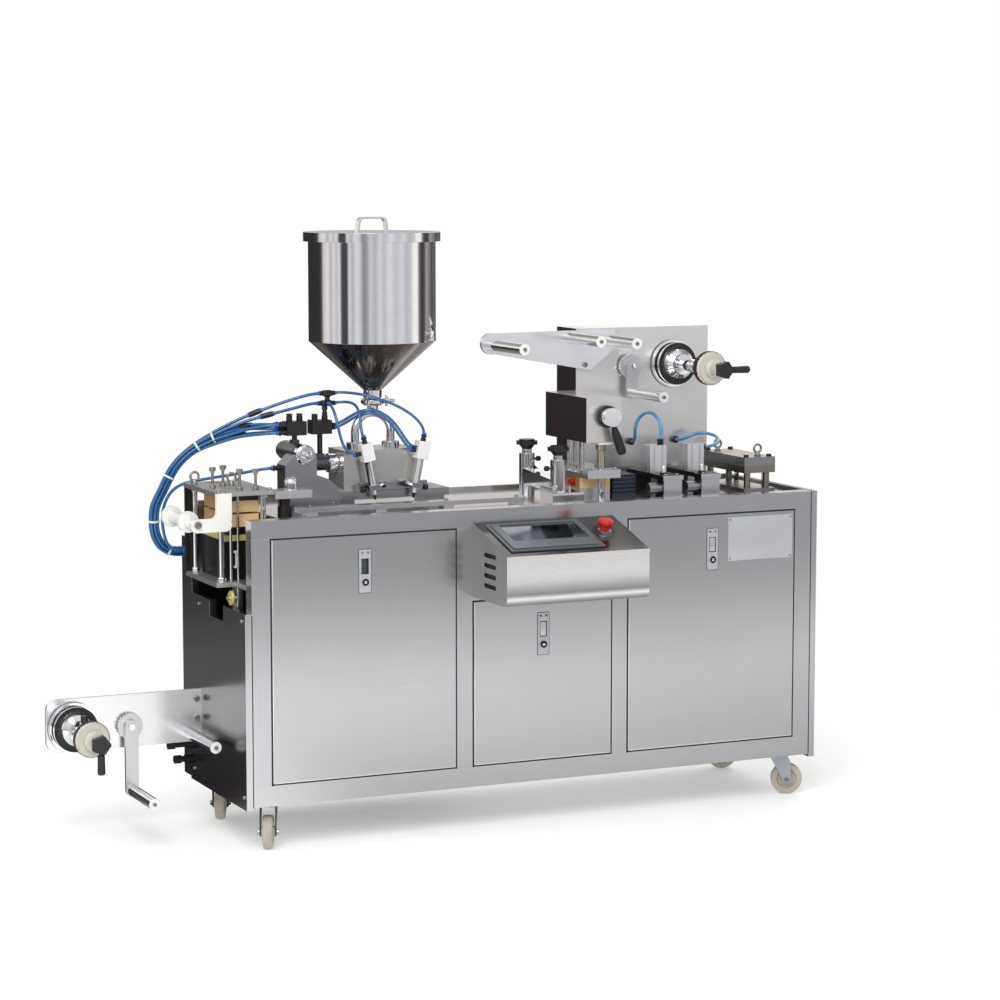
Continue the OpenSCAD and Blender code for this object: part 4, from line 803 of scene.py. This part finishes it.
def paleFloor(name, size):
    # pale matt floor that keeps the shadow near the object and runs out to white further off
    material, tree, shader, coords = startMaterial(name, Base_Color=toLinear("#f2f2f0"), Roughness=0.9)
    away = addNode(tree, "ShaderNodeVectorMath", {1: (0, 0, 0)}, {0: coords}, operation="DISTANCE")
    fade = addNode(tree, "ShaderNodeMapRange", {"From Min": size[0], "From Max": size[1]},
                   {"Value": away.outputs["Value"]}, interpolation_type="SMOOTHSTEP")
    glow = addNode(tree, "ShaderNodeEmission", {"Color": (1, 1, 1, 1), "Strength": 1.0})
    lift = addNode(tree, "ShaderNodeEmission", {"Color": (1, 1, 1, 1), "Strength": 0.22})
    near = addNode(tree, "ShaderNodeAddShader", links={0: shader.outputs[0], 1: lift.outputs[0]})
    both = addNode(tree, "ShaderNodeMixShader",
                   links={0: fade.outputs[0], 1: near.outputs[0], 2: glow.outputs[0]})
    showAs(tree, both)
    return material


floorHalf = 30.0
gx, gy = np.meshgrid([-floorHalf, floorHalf], [-floorHalf, floorHalf])
stagePiece("floor", np.stack([gx, gy, 0 * gx], -1), paleFloor("pale studio floor", (1.3, 2.6)))

# what mirrors see round about: angle right of the way to the camera, and how bright the walls are there;
# then by angle of rise: how they darken to the floor, where they end, the ceiling behind and in front
surround = {"angle": (-180, -108, -101, -96, -86, -78, -72, -66, -60, -55, -45, -41, -34, -28, -21, -15, -9,
                      -3, 6, 14, 22, 32, 44, 56, 66, 76, 82, 91, 95, 101, 110, 118, 126, 138, 152, 180),
            "glow": (0.03, 0.04, 0.10, 0.75, 1.0, 0.62, 0.95, 0.70, 0.95, 0.08, 0.07, 0.90, 0.60, 0.95, 0.80,
                     0.34, 0.42, 0.80, 0.62, 0.90, 0.70, 0.95, 0.74, 0.90, 0.66, 0.80, 1.2, 1.2, 0.30, 0.06,
                     0.08, 0.42, 0.30, 0.10, 0.16, 0.08),
            "horizon": ((0, 1.2, 2.6), (0.4, 0.55, 1.0)), "walls": (11.5, 14), "radius": 8.0,
            "behind": ((14, 21, 33, 90), (1, 1, 0.3, 0.3)), "before": ((9, 40), (0.7, 0.9)),
            "warm": np.array([1.06, 0.99, 0.95]), "cool": np.array([0.97, 0.99, 1.03])}
# and on the floor: by way to the front, along the front, and from the left end, in metres
floorGlow = {"front": ((-9, -6, -4.5, -3.2, -2.2, -1.2, -0.4), (0.16, 0.18, 0.22, 0.60, 1.25, 0.86, 0.62)),
             "along": ((-1.0, -0.45, -0.1, 0.6, 1.6), (1.9, 1.8, 1.05, 1.0, 0.86)),
             "left": ((0, 0.9, 2.0, 4.0, 9), (0.03, 0.05, 0.28, 0.08, 0.06))}
toCamera = math.atan2(*(np.array(camera.location)[:2])[::-1])


def softStep(x, a, b):  # 0 below a, 1 above b, a smooth rise between
    k = np.clip((x - a) / (b - a), 0, 1)
    return k * k * (3 - 2 * k)


def glowSheet(name, rows, glow, tint=np.ones(3)):
    # a sheet that only mirrors see, as bright at each point as the room is there
    material, tree = startMaterial(name)[:2]
    level = addNode(tree, "ShaderNodeAttribute", attribute_name="glow")
    shine = addNode(tree, "ShaderNodeEmission", {"Strength": 1.0}, {"Color": level.outputs["Color"]})
    showAs(tree, shine)
    sheet = stagePiece(name, rows, material)
    layer = sheet.data.attributes.new("glow", "FLOAT_COLOR", "POINT")
    shade = np.concatenate([glow[..., None] * tint, 0 * glow[..., None] + 1], -1).astype(np.float32)
    layer.data.foreach_set("color", shade.ravel())
    sheet.visible_camera = sheet.visible_diffuse = sheet.visible_shadow = sheet.visible_transmission = False


turn = np.linspace(-180, 180, 361)[:, None]
rise = np.r_[np.linspace(0, 30, 31), np.linspace(34, 90, 12)][None, :]
low = np.interp(turn, surround["angle"], surround["glow"]) * np.interp(rise, *surround["horizon"])
back = softStep(np.abs(turn), 70, 110)
behind, before = np.interp(rise, *surround["behind"]), np.interp(rise, *surround["before"])
high = back * behind + (1 - back) * before
glow = low + softStep(rise, *surround["walls"]) * (high - low)
a, e = toCamera + np.radians(turn), np.radians(rise)
dome = surround["radius"] * np.stack([np.cos(a) * np.cos(e), np.sin(a) * np.cos(e), np.sin(e) + 0 * a], -1)
warm = softStep(np.abs(turn), 55, 100)[..., None]  # cool near the camera, brown behind the object
glowSheet("surroundings", dome, glow, warm * surround["warm"] + (1 - warm) * surround["cool"])
fx, fy = np.meshgrid(np.linspace(-8, 8, 129), np.linspace(-8, 8, 129))
bearing = (np.degrees(np.arctan2(fy, fx) - toCamera) + 180) % 360 - 180
leftness = softStep(-bearing, 60, 95) * softStep(180 + bearing, 0, 12)
nearBy = np.where(fx < 0, softStep(fy, -2.2, -1.6), 1)  # the left end is lit only near the object
ahead = np.interp(fy, *floorGlow["front"]) * (1 + (np.interp(fx, *floorGlow["along"]) - 1) * nearBy)
beside = np.interp(np.hypot(fx + 0.6, fy - 0.2), *floorGlow["left"])
glow = leftness * beside + (1 - leftness) * ahead
glowSheet("mirrored floor", np.stack([fx, fy, 0 * fx + 0.02], -1), glow)
print("camera, light and stage ready")

low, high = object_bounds()
